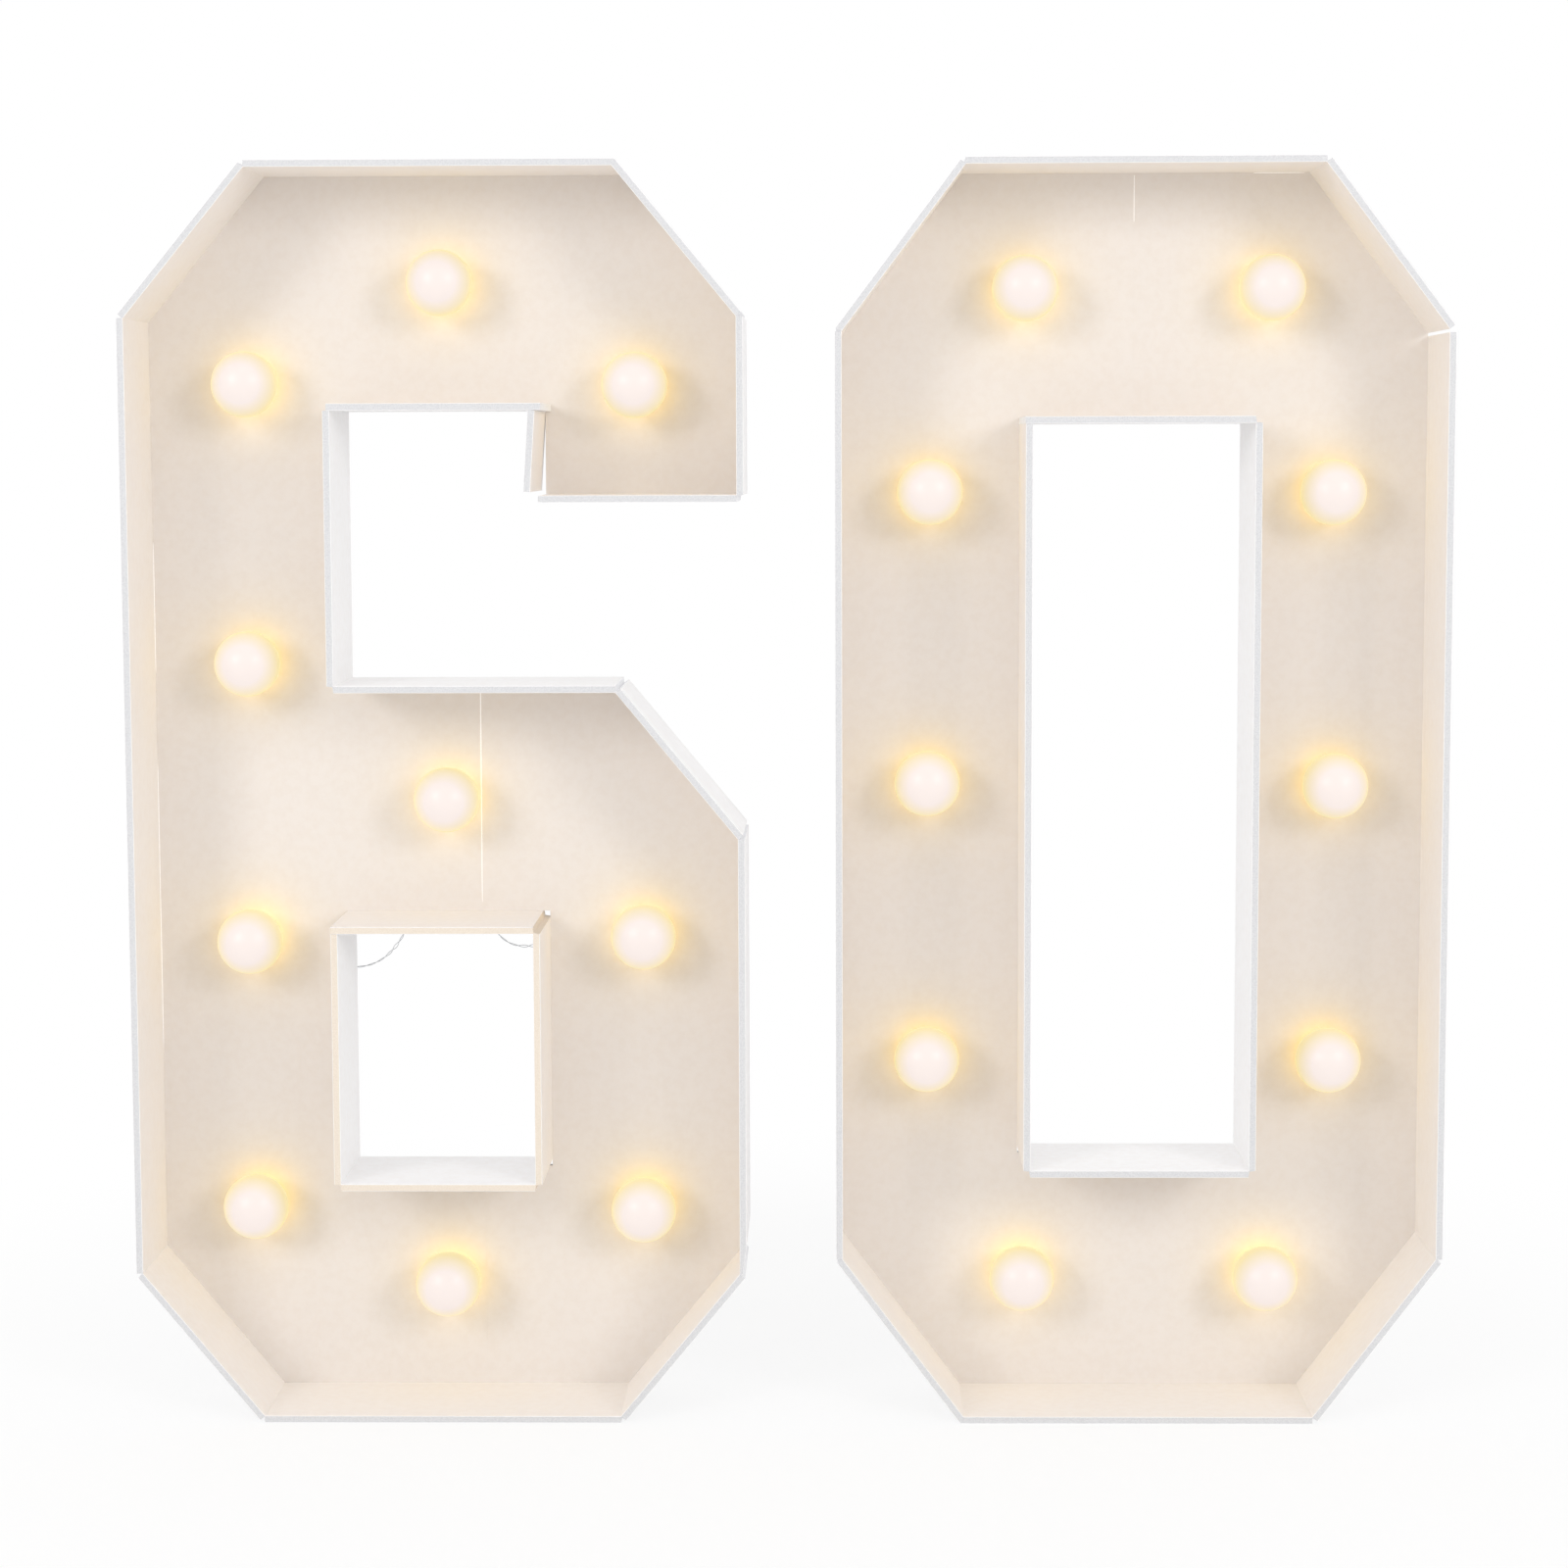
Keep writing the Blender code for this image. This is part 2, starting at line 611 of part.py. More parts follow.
def add_zero_panels(edge, window, places, finish, digit):
    """The three back panels of the zero: two that meet in the top bar, and a lower one shaped like a U."""
    names = list(edge)
    rim = dict(zip(names, inset([edge[name] for name in names], FIT)))
    left, bottom, right, top = grown(window, FIT)
    cross = window[1] + (window[3] - window[1]) * ZERO_PANEL_CROSS_SEAM_SHARE
    upright = window[0] + (window[2] - window[0]) * ZERO_PANEL_UPRIGHT_SEAM_SHARE
    half = SEAM / 2.0
    upper_left = [
        (rim["left_low"][0], cross + half),
        rim["left_high"],
        rim["top_left"],
        (upright - half, rim["top_left"][1]),
        (upright - half, top),
        (left, top),
        (left, cross + half),
    ]
    upper_right = [
        (upright + half, rim["top_right"][1]),
        rim["top_right"],
        rim["right_high"],
        (rim["right_low"][0], cross + half),
        (right, cross + half),
        (right, top),
        (upright + half, top),
    ]
    lower = [
        rim["left_low"],
        (rim["left_low"][0], cross - half),
        (left, cross - half),
        (left, bottom),
        (right, bottom),
        (right, cross - half),
        (rim["right_low"][0], cross - half),
        rim["right_low"],
        rim["foot_right"],
        rim["foot_left"],
    ]
    above = [place for place in places if place[1] > cross]
    below = [place for place in places if place[1] < cross]
    add_panel("zero_panel_upper_left", upper_left, [p for p in above if p[0] < upright], finish, digit)
    add_panel("zero_panel_upper_right", upper_right, [p for p in above if p[0] > upright], finish, digit)
    add_panel("zero_panel_lower", lower, below, finish, digit)


def globe_places(shares, across, up):
    """Where the globes of a digit stand (u, z), by name, from shares of spans across it and up it."""
    places = {}
    for name, (column, across_share, bar, up_share) in shares.items():
        left, right = across[column]
        low, high = up[bar]
        places[name] = (left + (right - left) * across_share, low + (high - low) * up_share)
    return places


def six_globe_places():
    """Where the ten globes of the six stand, from its three columns and its five heights."""
    right_column = SIX_COLUMN + SIX_WINDOW_WIDTH
    window_top = SIX_BOTTOM_BAR + SIX_WINDOW_HEIGHT
    ledge = window_top + SIX_MIDDLE_BAR
    top_bar = DIGIT_HEIGHT - SIX_TOP_BAR
    across = {
        "left": (0.0, SIX_COLUMN),
        "middle": (SIX_COLUMN, right_column),
        "right": (right_column, SIX_WIDTH),
    }
    up = {
        "foot": (0.0, SIX_BOTTOM_BAR),
        "window": (SIX_BOTTOM_BAR, window_top),
        "waist": (window_top, ledge),
        "notch": (ledge, top_bar),
        "head": (top_bar, DIGIT_HEIGHT),
    }
    return globe_places(SIX_GLOBE_SHARES, across, up)


def zero_globe_places():
    """Where the ten globes of the zero stand, from its two columns, its whole width and its three heights."""
    across = {
        "left": (0.0, ZERO_COLUMN),
        "right": (ZERO_WIDTH - ZERO_COLUMN, ZERO_WIDTH),
        "whole": (0.0, ZERO_WIDTH),
    }
    up = {
        "foot": (0.0, ZERO_BAR),
        "window": (ZERO_BAR, DIGIT_HEIGHT - ZERO_BAR),
        "head": (DIGIT_HEIGHT - ZERO_BAR, DIGIT_HEIGHT),
    }
    return globe_places(ZERO_GLOBE_SHARES, across, up)


def sphere_arc(radius, neck, rings, centre):
    """Profile points of a sphere, from its front pole back to where a neck of the given radius meets it."""
    end = math.pi - math.asin(neck / radius)
    angles = [end * step / rings for step in range(rings + 1)]
    return [(radius * math.sin(angle), centre - radius * math.cos(angle)) for angle in angles]


def globe_mesh():
    """A blown globe with a short neck, whose spigot runs back through the panel into its holder."""
    mouth = SPIGOT_RADIUS - GLOBE_WALL
    spigot_end = BOARD + SPIGOT_REACH
    outside = sphere_arc(GLOBE_RADIUS, GLOBE_NECK_RADIUS, GLOBE_RINGS, -GLOBE_STANDOFF)
    inside = sphere_arc(GLOBE_RADIUS - GLOBE_WALL, mouth, GLOBE_INNER_RINGS, -GLOBE_STANDOFF)
    seat = [
        (SHOULDER_RADIUS, -FIT),
        (SPIGOT_RADIUS, -FIT),
        (SPIGOT_RADIUS, spigot_end),
        (mouth, spigot_end),
    ]
    return turning("globe", outside + seat + inside[::-1], GLOBE_SEGMENTS, 1)


def holder_profile():
    """A cup that grips the spigot from behind, with a lamp on a stem that reaches into the globe's neck."""
    cup = clear_round(SPIGOT_RADIUS + FIT, HOLDER_SEGMENTS)
    lamp = PANEL_FRONT - LAMP_REACH
    back = HOLDER_FLOOR + HOLDER_BACK
    return [
        (0.0, lamp),
        (LAMP_RADIUS, lamp),
        (LAMP_RADIUS, HOLDER_FLOOR),
        (cup, HOLDER_FLOOR),
        (cup, HOLDER_FRONT),
        (HOLDER_RADIUS, HOLDER_FRONT),
        (HOLDER_RADIUS, back),
        (0.0, back),
    ]


def lead_run(start, end, leaving, entering):
    """Points of one run of lead, on a smooth curve from inside one holder to inside the next."""
    way = Vector(end) - Vector(start)
    across = Vector((-way.y, way.x))
    first = way * leaving[0] + across * leaving[1]
    last = way * entering[0] + across * entering[1]
    grip = HOLDER_RADIUS - LEAD_SOCKET_DEPTH
    begin = Vector(start) + first.normalized() * grip
    arrive = Vector(end) + last.normalized() * grip
    return interpolate_bezier(begin, begin + first, arrive + last, arrive, LEAD_POINTS)


def lead_mesh(runs):
    """Round tubes behind the panels, one along each list of points (u, z)."""
    curve = bpy.data.curves.new("lead", "CURVE")
    curve.dimensions = "3D"
    curve.bevel_depth = LEAD_RADIUS
    curve.bevel_resolution = 1
    curve.use_fill_caps = True
    for run in runs:
        spline = curve.splines.new("POLY")
        spline.points.add(len(run) - 1)
        for point, (u, z) in zip(spline.points, run):
            point.co = (u, LEAD_PLANE, z, 1.0)
    shape = bpy.data.objects.new("lead", curve)
    bpy.context.scene.collection.objects.link(shape)
    graph = bpy.context.evaluated_depsgraph_get()
    mesh = bpy.data.meshes.new_from_object(shape.evaluated_get(graph))
    bpy.data.objects.remove(shape)
    return mesh


def add_harness(name, places, first, case_place, shares, finish, digit):
    """Ten lamp holders joined by runs of lead, with a tail down from the battery box to the first holder."""
    cups = bmesh.new()
    for u, z in places.values():
        add_turning(cups, holder_profile(), HOLDER_SEGMENTS, 1, (u, 0.0, z))
    harness = add_object(name, mesh_from(name, cups, smooth=True), finish, digit)
    tail_end = places[first][1] + HOLDER_RADIUS - LEAD_SOCKET_DEPTH
    runs = [[(case_place[0], case_place[1] + LEAD_ENTRY), (case_place[0], tail_end)]]
    for start, end, leaving, entering in shares:
        runs.append(lead_run(places[start], places[end], leaving, entering))
    boolean(harness, lead_mesh(runs), "UNION")
    return harness


def add_globes(prefix, places, finish, digit):
    """One globe at each place, standing on the front of the panel."""
    mesh = globe_mesh()
    for label, (u, z) in places.items():
        add_object(f"{prefix}_globe_{label}", mesh, finish, digit, (u, PANEL_FRONT, z))


def add_case(name, finish, box):
    """The battery box's tray: a bay for two cells, a sliding cover's channel and a switch at its foot."""
    edge = CASE_HALF - CASE_EDGE
    back = CASE_DEPTH
    section = [
        (-CASE_HALF, 0.0),
        (CASE_HALF, 0.0),
        (CASE_HALF, back - CASE_EDGE),
        (edge, back),
        (-edge, back),
        (-CASE_HALF, back - CASE_EDGE),
    ]
    case = add_object(name, extrusion(name, section, 2, 0.0, CASE_LENGTH), finish, box)
    pocket = CONTACT_SPRING + 2.0 * FIT
    rail = CELL_RAIL_WIDTH / 2.0
    rail_top = CASE_FLOOR + CELL_RAIL_HEIGHT
    mouth = CHANNEL_LOW + FIT
    bay = [
        (-BAY_HALF, CASE_FLOOR),
        (-rail, CASE_FLOOR),
        (-rail, rail_top),
        (rail, rail_top),
        (rail, CASE_FLOOR),
        (BAY_HALF, CASE_FLOOR),
        (BAY_HALF, mouth),
        (-BAY_HALF, mouth),
    ]
    boolean(case, extrusion("bay", bay, 2, BAY_LOW + pocket / 2.0, BAY_HIGH - pocket / 2.0), "DIFFERENCE")
    pockets = boxes(
        "pockets",
        [
            ((-BAY_HALF, CASE_FLOOR, BAY_LOW), (BAY_HALF, mouth, BAY_LOW + pocket)),
            ((-BAY_HALF, CASE_FLOOR, BAY_HIGH - pocket), (BAY_HALF, mouth, BAY_HIGH)),
            (
                (-BAY_HALF, CASE_FLOOR, CASE_WALL),
                (BAY_HALF, SLOT_FLOOR - CASE_FLOOR, SWITCH_END - CASE_WALL),
            ),
            (
                (-SLOT_HALF, SLOT_FLOOR, (SWITCH_END - SWITCH_SLOT_WIDTH) / 2.0),
                (SLOT_HALF, back + CUT_OVERRUN, (SWITCH_END + SWITCH_SLOT_WIDTH) / 2.0),
            ),
        ],
    )
    boolean(case, pockets, "DIFFERENCE")
    channel = [
        (-CHANNEL_HALF, CHANNEL_LOW),
        (CHANNEL_HALF, CHANNEL_LOW),
        (CHANNEL_HALF, LIP_LOW),
        (BAY_HALF, LIP_LOW),
        (BAY_HALF, back + CUT_OVERRUN),
        (-BAY_HALF, back + CUT_OVERRUN),
        (-BAY_HALF, LIP_LOW),
        (-CHANNEL_HALF, LIP_LOW),
    ]
    boolean(case, extrusion("channel", channel, 2, SWITCH_END, CASE_LENGTH + CUT_OVERRUN), "DIFFERENCE")
    inlet = bmesh.new()
    radius = clear_round(LEAD_RADIUS + FIT, HOLDER_SEGMENTS)
    profile = rod(radius, -CUT_OVERRUN, CASE_WALL + CUT_OVERRUN)
    add_turning(inlet, profile, HOLDER_SEGMENTS, 2, (0.0, LEAD_PLANE - CASE_FRONT, 0.0))
    boolean(case, mesh_from("inlet", inlet), "DIFFERENCE")
    return case


def add_cover(name, finish, box):
    """The sliding cover, which runs up and out of the channel, with ribs for a thumb near its top."""
    half = CHANNEL_HALF - FIT
    low = CHANNEL_LOW + FIT
    high = low + COVER_THICKNESS
    plate = boxes(name, [((-half, low, SWITCH_END + FIT), (half, high, CASE_LENGTH))])
    cover = add_object(name, plate, finish, box)
    ribs = []
    for number in range(1, COVER_RIB_COUNT + 1):
        z = CASE_LENGTH - number * COVER_RIB_PITCH
        ribs.append(
            (
                (-COVER_RIB_LENGTH / 2.0, low + COVER_THICKNESS / 2.0, z - COVER_RIB_WIDTH / 2.0),
                (COVER_RIB_LENGTH / 2.0, high + COVER_RIB_HEIGHT, z + COVER_RIB_WIDTH / 2.0),
            )
        )
    boolean(cover, boxes("ribs", ribs), "UNION")
    return cover


def add_switch(name, finish, box):
    """The switch's knob, at the end of its slot where the light is on, with a ridged top."""
    half = SWITCH_KNOB_LENGTH / 2.0
    top = CASE_DEPTH + SWITCH_KNOB_PROUD
    tooth = SWITCH_KNOB_LENGTH / SWITCH_RIDGE_COUNT
    outline = [(-half, SLOT_FLOOR + FIT), (half, SLOT_FLOOR + FIT), (half, top)]
    for number in range(1, SWITCH_RIDGE_COUNT + 1):
        end = half - number * tooth
        outline.append((end + tooth / 2.0, top - SWITCH_RIDGE_DEPTH))
        outline.append((end, top))
    width = SWITCH_SLOT_WIDTH / 2.0 - FIT
    mesh = extrusion(name, outline, 2, -width, width)
    return add_object(name, mesh, finish, box, (-SWITCH_TRAVEL / 2.0, 0.0, SWITCH_END / 2.0))


def add_cells(prefix, finish, box):
    """Two cells side by side, one with its nub up and the other turned over."""
    top = CELL_LENGTH + CELL_NUB_LENGTH
    profile = [
        (0.0, 0.0),
        (CELL_RADIUS, 0.0),
        (CELL_RADIUS, CELL_LENGTH),
        (CELL_NUB_RADIUS, CELL_LENGTH),
        (CELL_NUB_RADIUS, top),
        (0.0, top),
    ]
    mesh = turning("cell", profile, CELL_SEGMENTS, 2)
    offset = BAY_HALF / 2.0
    depth = CASE_FLOOR + FIT + CELL_RADIUS
    spring = CONTACT_SPRING + 2.0 * FIT
    add_object(f"{prefix}_cell_left", mesh, finish, box, (-offset, depth, BAY_LOW + spring))
    turned = add_object(f"{prefix}_cell_right", mesh, finish, box, (offset, depth, BAY_HIGH - spring))
    turned.rotation_euler = (0.0, math.pi, 0.0)


def ribbon(path, thickness):
    """The edge view of thin sheet bent along a path, with its thickness on the path's left."""
    outer = [Vector(path[0]) + left_of(path[0], path[1]) * thickness]
    for before, corner, after in zip(path, path[1:], path[2:]):
        slant = mitre(left_of(before, corner), left_of(corner, after))
        outer.append(Vector(corner) + slant * thickness)
    outer.append(Vector(path[-1]) + left_of(path[-2], path[-1]) * thickness)
    return list(path) + [tuple(point) for point in reversed(outer)]


def bowed_leaf(centre):
    """The path of a spring leaf that bows out from its end wall, under the flat end of a cell."""
    end = CONTACT_WIDTH / 2.0
    foot = end * LEAF_FOOT_SHARE
    crest = end * LEAF_CREST_SHARE
    bow = CONTACT_SPRING - CONTACT_THICKNESS
    return [
        (centre - end, 0.0),
        (centre - foot, 0.0),
        (centre - crest, bow),
        (centre + crest, bow),
        (centre + foot, 0.0),
    ]


def add_contacts(prefix, finish, box):
    """A leaf and a plate at the foot of the bay, and a bridge across its top that is both at once."""
    left = -BAY_HALF / 2.0
    right = BAY_HALF / 2.0
    foot = CONTACT_WIDTH / 2.0
    paths = {
        "contact_spring": bowed_leaf(left) + [(left + foot, 0.0)],
        "contact_plate": [(right - foot, 0.0), (right + foot, 0.0)],
        "contact_bridge": bowed_leaf(left) + [(right + foot, 0.0)],
    }
    low = CASE_FLOOR + FIT
    for label, path in paths.items():
        name = f"{prefix}_{label}"
        mesh = extrusion(name, ribbon(path, CONTACT_THICKNESS), 1, low, low + CONTACT_HEIGHT)
        contact = add_object(name, mesh, finish, box, (0.0, 0.0, BAY_LOW + FIT))
        if label == "contact_bridge":
            contact.location.z = BAY_HIGH - FIT
            contact.rotation_euler = (0.0, math.pi, 0.0)


def add_battery_box(prefix, place, finishes, digit):
    """The battery box behind a panel, with its foot at the given place."""
    box = bpy.data.objects.new(f"{prefix}_battery_box", None)
    bpy.context.scene.collection.objects.link(box)
    box.parent = digit
    box.location = (place[0], CASE_FRONT, place[1])
    add_case(f"{prefix}_battery_case", finishes["case"], box)
    add_cover(f"{prefix}_battery_cover", finishes["case"], box)
    add_switch(f"{prefix}_switch", finishes["knob"], box)
    add_cells(prefix, finishes["cell"], box)
    add_contacts(prefix, finishes["contact"], box)


def add_digit(name, left):
    """An empty that carries one digit, with its left edge at the given world X."""
    digit = bpy.data.objects.new(name, None)
    bpy.context.scene.collection.objects.link(digit)
    digit.location = (left, -OVERALL_DEPTH / 2.0, 0.0)
    return digit


def add_six(finishes):
    """The whole six."""
    digit = add_digit("six", -OVERALL_WIDTH / 2.0)
    edge = six_edges()
    right = SIX_COLUMN + SIX_WINDOW_WIDTH
    top = SIX_BOTTOM_BAR + SIX_WINDOW_HEIGHT
    window = grown((SIX_COLUMN, SIX_BOTTOM_BAR, right, top), BOARD)
    places = six_globe_places()
    case_foot = SIX_BOTTOM_BAR + SIX_WINDOW_HEIGHT * SIX_CASE_SHARE - CASE_LENGTH / 2.0
    case_place = (places["left_4"][0], case_foot)
    add_six_strips(edge, finishes["board"], digit)
    add_strip("six_strip_window", window_path(*window), finishes["board"], digit)
    add_six_panels(edge, window, list(places.values()), finishes["board"], digit)
    add_globes("six", places, finishes["globe"], digit)
    add_harness("six_harness", places, "left_4", case_place, SIX_LEAD_SHARES, finishes["lead"], digit)
    add_battery_box("six", case_place, finishes, digit)


def add_zero(finishes):
    """The whole zero."""
    digit = add_digit("zero", OVERALL_WIDTH / 2.0 - ZERO_WIDTH)
    edge = zero_edges()
    right = ZERO_WIDTH - ZERO_COLUMN
    window = grown((ZERO_COLUMN, ZERO_BAR, right, DIGIT_HEIGHT - ZERO_BAR), BOARD)
    places = zero_globe_places()
    case_foot = ZERO_BAR + ZERO_WINDOW_HEIGHT * ZERO_CASE_SHARE - CASE_LENGTH / 2.0
    case_place = (places["right_3"][0], case_foot)
    add_zero_strips(edge, finishes["board"], digit)
    add_strip("zero_strip_window", window_path(*window), finishes["board"], digit)
    add_zero_panels(edge, window, list(places.values()), finishes["board"], digit)
    add_globes("zero", places, finishes["globe"], digit)
    add_harness("zero_harness", places, "right_3", case_place, ZERO_LEAD_SHARES, finishes["lead"], digit)
    add_battery_box("zero", case_place, finishes, digit)


def main():
    """Empties the scene and builds both digits."""
    for old in list(bpy.data.objects):
        bpy.data.objects.remove(old)
    finishes = {
        "board": material("foam_board", (0.88, 0.86, 0.84), 0.75),
        "globe": material("warm_globe", (0.98, 0.86, 0.66), 0.35, glow=1.0),
        "lead": material("clear_lead", (0.80, 0.80, 0.80), 0.30),
        "case": material("battery_case", (0.85, 0.85, 0.84), 0.45),
        "knob": material("switch_knob", (0.08, 0.08, 0.09), 0.50),
        "cell": material("cell_jacket", (0.16, 0.17, 0.19), 0.40),
        "contact": material("contact_steel", (0.75, 0.75, 0.76), 0.30, metallic=1.0),
    }
    add_six(finishes)
    add_zero(finishes)


if __name__ == "__main__":
    main()
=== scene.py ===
"""Looks for a pair of light-up marquee numbers, a 6 and a 0 of folded foam board with lit globes.

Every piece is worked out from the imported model's nodes, in metres and in the model's own frame:
X to the right, Y to the back and Z up. The fronts of the trays face -Y.
"""
import math

import bmesh
import bpy
import numpy as np
from bpy.props import FloatProperty, FloatVectorProperty, IntProperty, PointerProperty
from mathutils import Matrix, Vector


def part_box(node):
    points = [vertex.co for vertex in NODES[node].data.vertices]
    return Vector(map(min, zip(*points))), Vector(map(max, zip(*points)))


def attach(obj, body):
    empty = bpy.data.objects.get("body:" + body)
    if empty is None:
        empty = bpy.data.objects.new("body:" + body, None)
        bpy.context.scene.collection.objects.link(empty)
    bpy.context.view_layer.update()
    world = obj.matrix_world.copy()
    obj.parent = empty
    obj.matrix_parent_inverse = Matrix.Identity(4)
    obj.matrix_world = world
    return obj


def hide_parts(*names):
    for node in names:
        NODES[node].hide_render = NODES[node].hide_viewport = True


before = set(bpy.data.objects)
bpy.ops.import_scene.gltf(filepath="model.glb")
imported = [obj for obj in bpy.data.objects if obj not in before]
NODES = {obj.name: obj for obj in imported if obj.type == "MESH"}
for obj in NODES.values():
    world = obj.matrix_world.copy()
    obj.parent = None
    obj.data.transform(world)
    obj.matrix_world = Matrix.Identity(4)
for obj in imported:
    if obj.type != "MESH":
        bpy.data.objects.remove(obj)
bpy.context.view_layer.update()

bl_info = {
    "name": "Light-up Marquee Number",
    "version": (1, 0, 0),
    "blender": (4, 5, 0),
    "location": "View3D > Sidebar > Marquee",
    "description": "Dresses a foam board 6 and 0 with board strips, lit globes, leads and battery boxes",
    "category": "Add Mesh",
}

DIGITS = ("six", "zero")

# Reading the board from the frame: lengths in metres, and the last two are the sine of a turn
SAME_POINT = 0.0000005
SAME_PLANE = 0.00001
FOLD_SPAN = 0.008
CAP_LONGEST = 0.006
LOOK_ASIDE = 0.009
LOOK_PAST_RIM = 0.0008
SQUARE_ENOUGH = 0.96
NEARLY_STRAIGHT = 0.02

# The finishes of a board piece, by the number of its material slot
WHITE_PAPER, CUT_FOAM, PAPER_PAINTED_GLOW_AND_SHADE, BACKLIT_FOAM, GLOBE_LIT_FOAM, WALL_PAPER_PAINTED_GLOW = range(6)
# Strips whose front edge the globes tint
WARM_EDGES = ("six_strip_window",)

# Joints that light comes through, where beads glow as painted light: a panel, one side of it, the joint's two
# ends as shares of that side, and how wide it gapes at each
LIT_JOINTS = (
    ("six_panel_lower_left", "left", 0.395, 0.745, 0.0, 0.0),
    ("six_panel_lower_left", "left", 0.845, 1.0, 0.0, 0.0),
    ("six_panel_lower_left", "right", 0.567, 0.832, 0.0005, 0.0014),
    ("zero_panel_upper_left", "right", 0.93, 1.0, 0.0005, 0.0005),
    ("zero_panel_upper_right", "top", 0.40, 0.58, 0.0, 0.0),
)
LIT_JOINT_POINTS = 25
LIT_JOINT_SIDES = 8
# How deep the bead in a joint lies, as a share of half of its gape
LIT_JOINT_DEPTH = 0.8

# A globe's neck: how much it narrows, its room before the panel, its rings and the radius of its spigot
NECK_TAPER = 0.0007
NECK_ROOM = 0.0003
NECK_RINGS = 4
SPIGOT_RADIUS = 0.0097

# A lamp holder: its bevels, the band and ring of its rim, and the rounding and the groove of its closed end
HOLDER_BEVEL = 0.0004
HOLDER_BAND = 0.0016
HOLDER_RING = 0.002
HOLDER_ROUNDING = 0.0008
HOLDER_ROUNDING_MIDDLE = 0.0003
GROOVE_START = 0.0040
GROOVE_END = 0.0068
FLUTE_STEPS = 6

# How each lead leaves and enters its holders: along and across the straight way, as shares of its length
LEAD_SHARES = {
    "six": (
        ("left_4", "foot", (0.30, -0.30), (-0.30, -0.20)),
        ("foot", "right_3", (0.30, -0.20), (-0.35, -0.15)),
        ("right_3", "right_2", (0.30, -0.14), (-0.30, -0.14)),
        ("right_2", "middle", (0.416, 0.32), (-0.644, 0.611)),
        ("middle", "left_3", (0.474, 0.329), (-0.275, 0.579)),
        ("left_3", "left_2", (0.30, 0.12), (-0.30, 0.10)),
        ("left_2", "left_1", (0.30, -0.12), (-0.30, -0.14)),
        ("left_1", "top", (0.25, 0.20), (-0.30, -0.10)),
        ("top", "right_1", (0.30, 0.10), (-0.25, 0.20)),
    ),
    "zero": (
        ("right_3", "bottom_2", (0.30, 0.10), (-0.30, 0.15)),
        ("bottom_2", "bottom_1", (0.30, 0.20), (-0.30, 0.20)),
        ("bottom_1", "left_3", (0.30, 0.12), (-0.30, 0.15)),
        ("left_3", "left_2", (0.30, 0.10), (-0.30, 0.12)),
        ("left_2", "left_1", (0.30, -0.10), (-0.30, -0.10)),
        ("left_1", "top_1", (0.30, 0.12), (-0.30, -0.10)),
        ("top_1", "top_2", (0.30, -0.22), (-0.30, -0.22)),
        ("top_2", "right_1", (0.30, 0.10), (-0.30, 0.12)),
        ("right_1", "right_2", (0.30, 0.12), (-0.30, 0.10)),
    ),
}
LEAD_POINTS = 96
LEAD_SIDES = 8
LEAD_SOCKET_DEPTH = 0.003
LEAD_ENTRY = 0.004
# How many turns of the twist lie between two loose places of the lead
LOOSE_TURNS = 2.7

# The patterns of the finishes: the spacing of each in metres, or how many of them lie in a metre. Fibres of
# paper are about 0.02 mm wide and cells of foam 0.2 mm; they are drawn as fine as the render can show.
PAPER_MOTTLE = 0.006
PAPER_FIBRE = 0.0009
FOAM_CELL = 0.0011
HOLDER_GRAIN = 0.0015
CASE_GRAIN = 0.0012
KNOB_GRAIN = 0.0010
WIRE_MARKS_PER_METRE = 220.0
STEEL_LINES_PER_METRE = (200.0, 200.0, 4000.0)
FLOOR_MOTTLES_PER_METRE = 3.0
# The darker places of a pattern, as a share of its colour
# For moulded grain the darker places are its hollows: painted shade
GRAIN_SHADE = 0.94
WIRE_SHADE = 0.85
FLOOR_MOTTLE_SHADE = 0.99

# Where a globe's glow changes colour, as shares of a half turn from its front
FRONT_GLOW_END = 0.20
RIM_GLOW_START = 0.43
RIM_GLOW_END = 0.60
BACK_GLOW_START = 0.66
BACK_GLOW_END = 0.76
NECK_GLOW_START = 0.86
# How many times brighter than its front a globe's back glows
BACK_GLOW_TIMES = 2.9

# Where a cell's sleeve, band and cap start, as shares of its height from its minus end
SLEEVE_START = 0.02
BAND_START = 0.74
CAP_START = 0.95

# Camera, fitted to the photograph's own view of both digits
CAMERA_PLACE = (0.0407, -2.5148, 0.7085)
CAMERA_PITCH = math.radians(-5.554)
CAMERA_YAW = math.radians(0.978)
CAMERA_ROLL = math.radians(0.185)
CAMERA_LENS_MM = 78.91
CAMERA_SENSOR_MM = 36.0

# Studio: where the softboxes stand, and how far from the digits the floor shows its shadow
SIDE_SOFTBOX_PLACES = {"softbox_left": (-2.75, -3.56, 2.00), "softbox_right": (2.75, -3.56, 2.00)}
TOP_SOFTBOX_PLACE = (0.0, -1.50, 3.60)
SOFTBOX_AIM = (0.0, 0.0, 0.45)
FLOOR_SHADE_SHARE = 0.22
FLOOR_SHADE_NEAR = 0.35
FLOOR_SHADE_FAR = 1.1
WHITE = (1.0, 1.0, 1.0)
BLACK = (0.0, 0.0, 0.0)


def linear(code):
    """The linear red, green and blue of an sRGB hex colour."""
    shares = [int(code[start:start + 2], 16) / 255 for start in (1, 3, 5)]
    return tuple(((one + 0.055) / 1.055) ** 2.4 if one > 0.04045 else one / 12.92 for one in shares)


def colour_property(name, description, code):
    """A colour setting whose default is an sRGB hex value."""
    return FloatVectorProperty(
        name=name, description=description, default=linear(code), subtype="COLOR", size=3, min=0.0, max=1.0
    )


def length_property(name, description, default):
    """A length setting in metres."""
    return FloatProperty(
        name=name, description=description, default=default, min=0.0, precision=5, unit="LENGTH"
    )


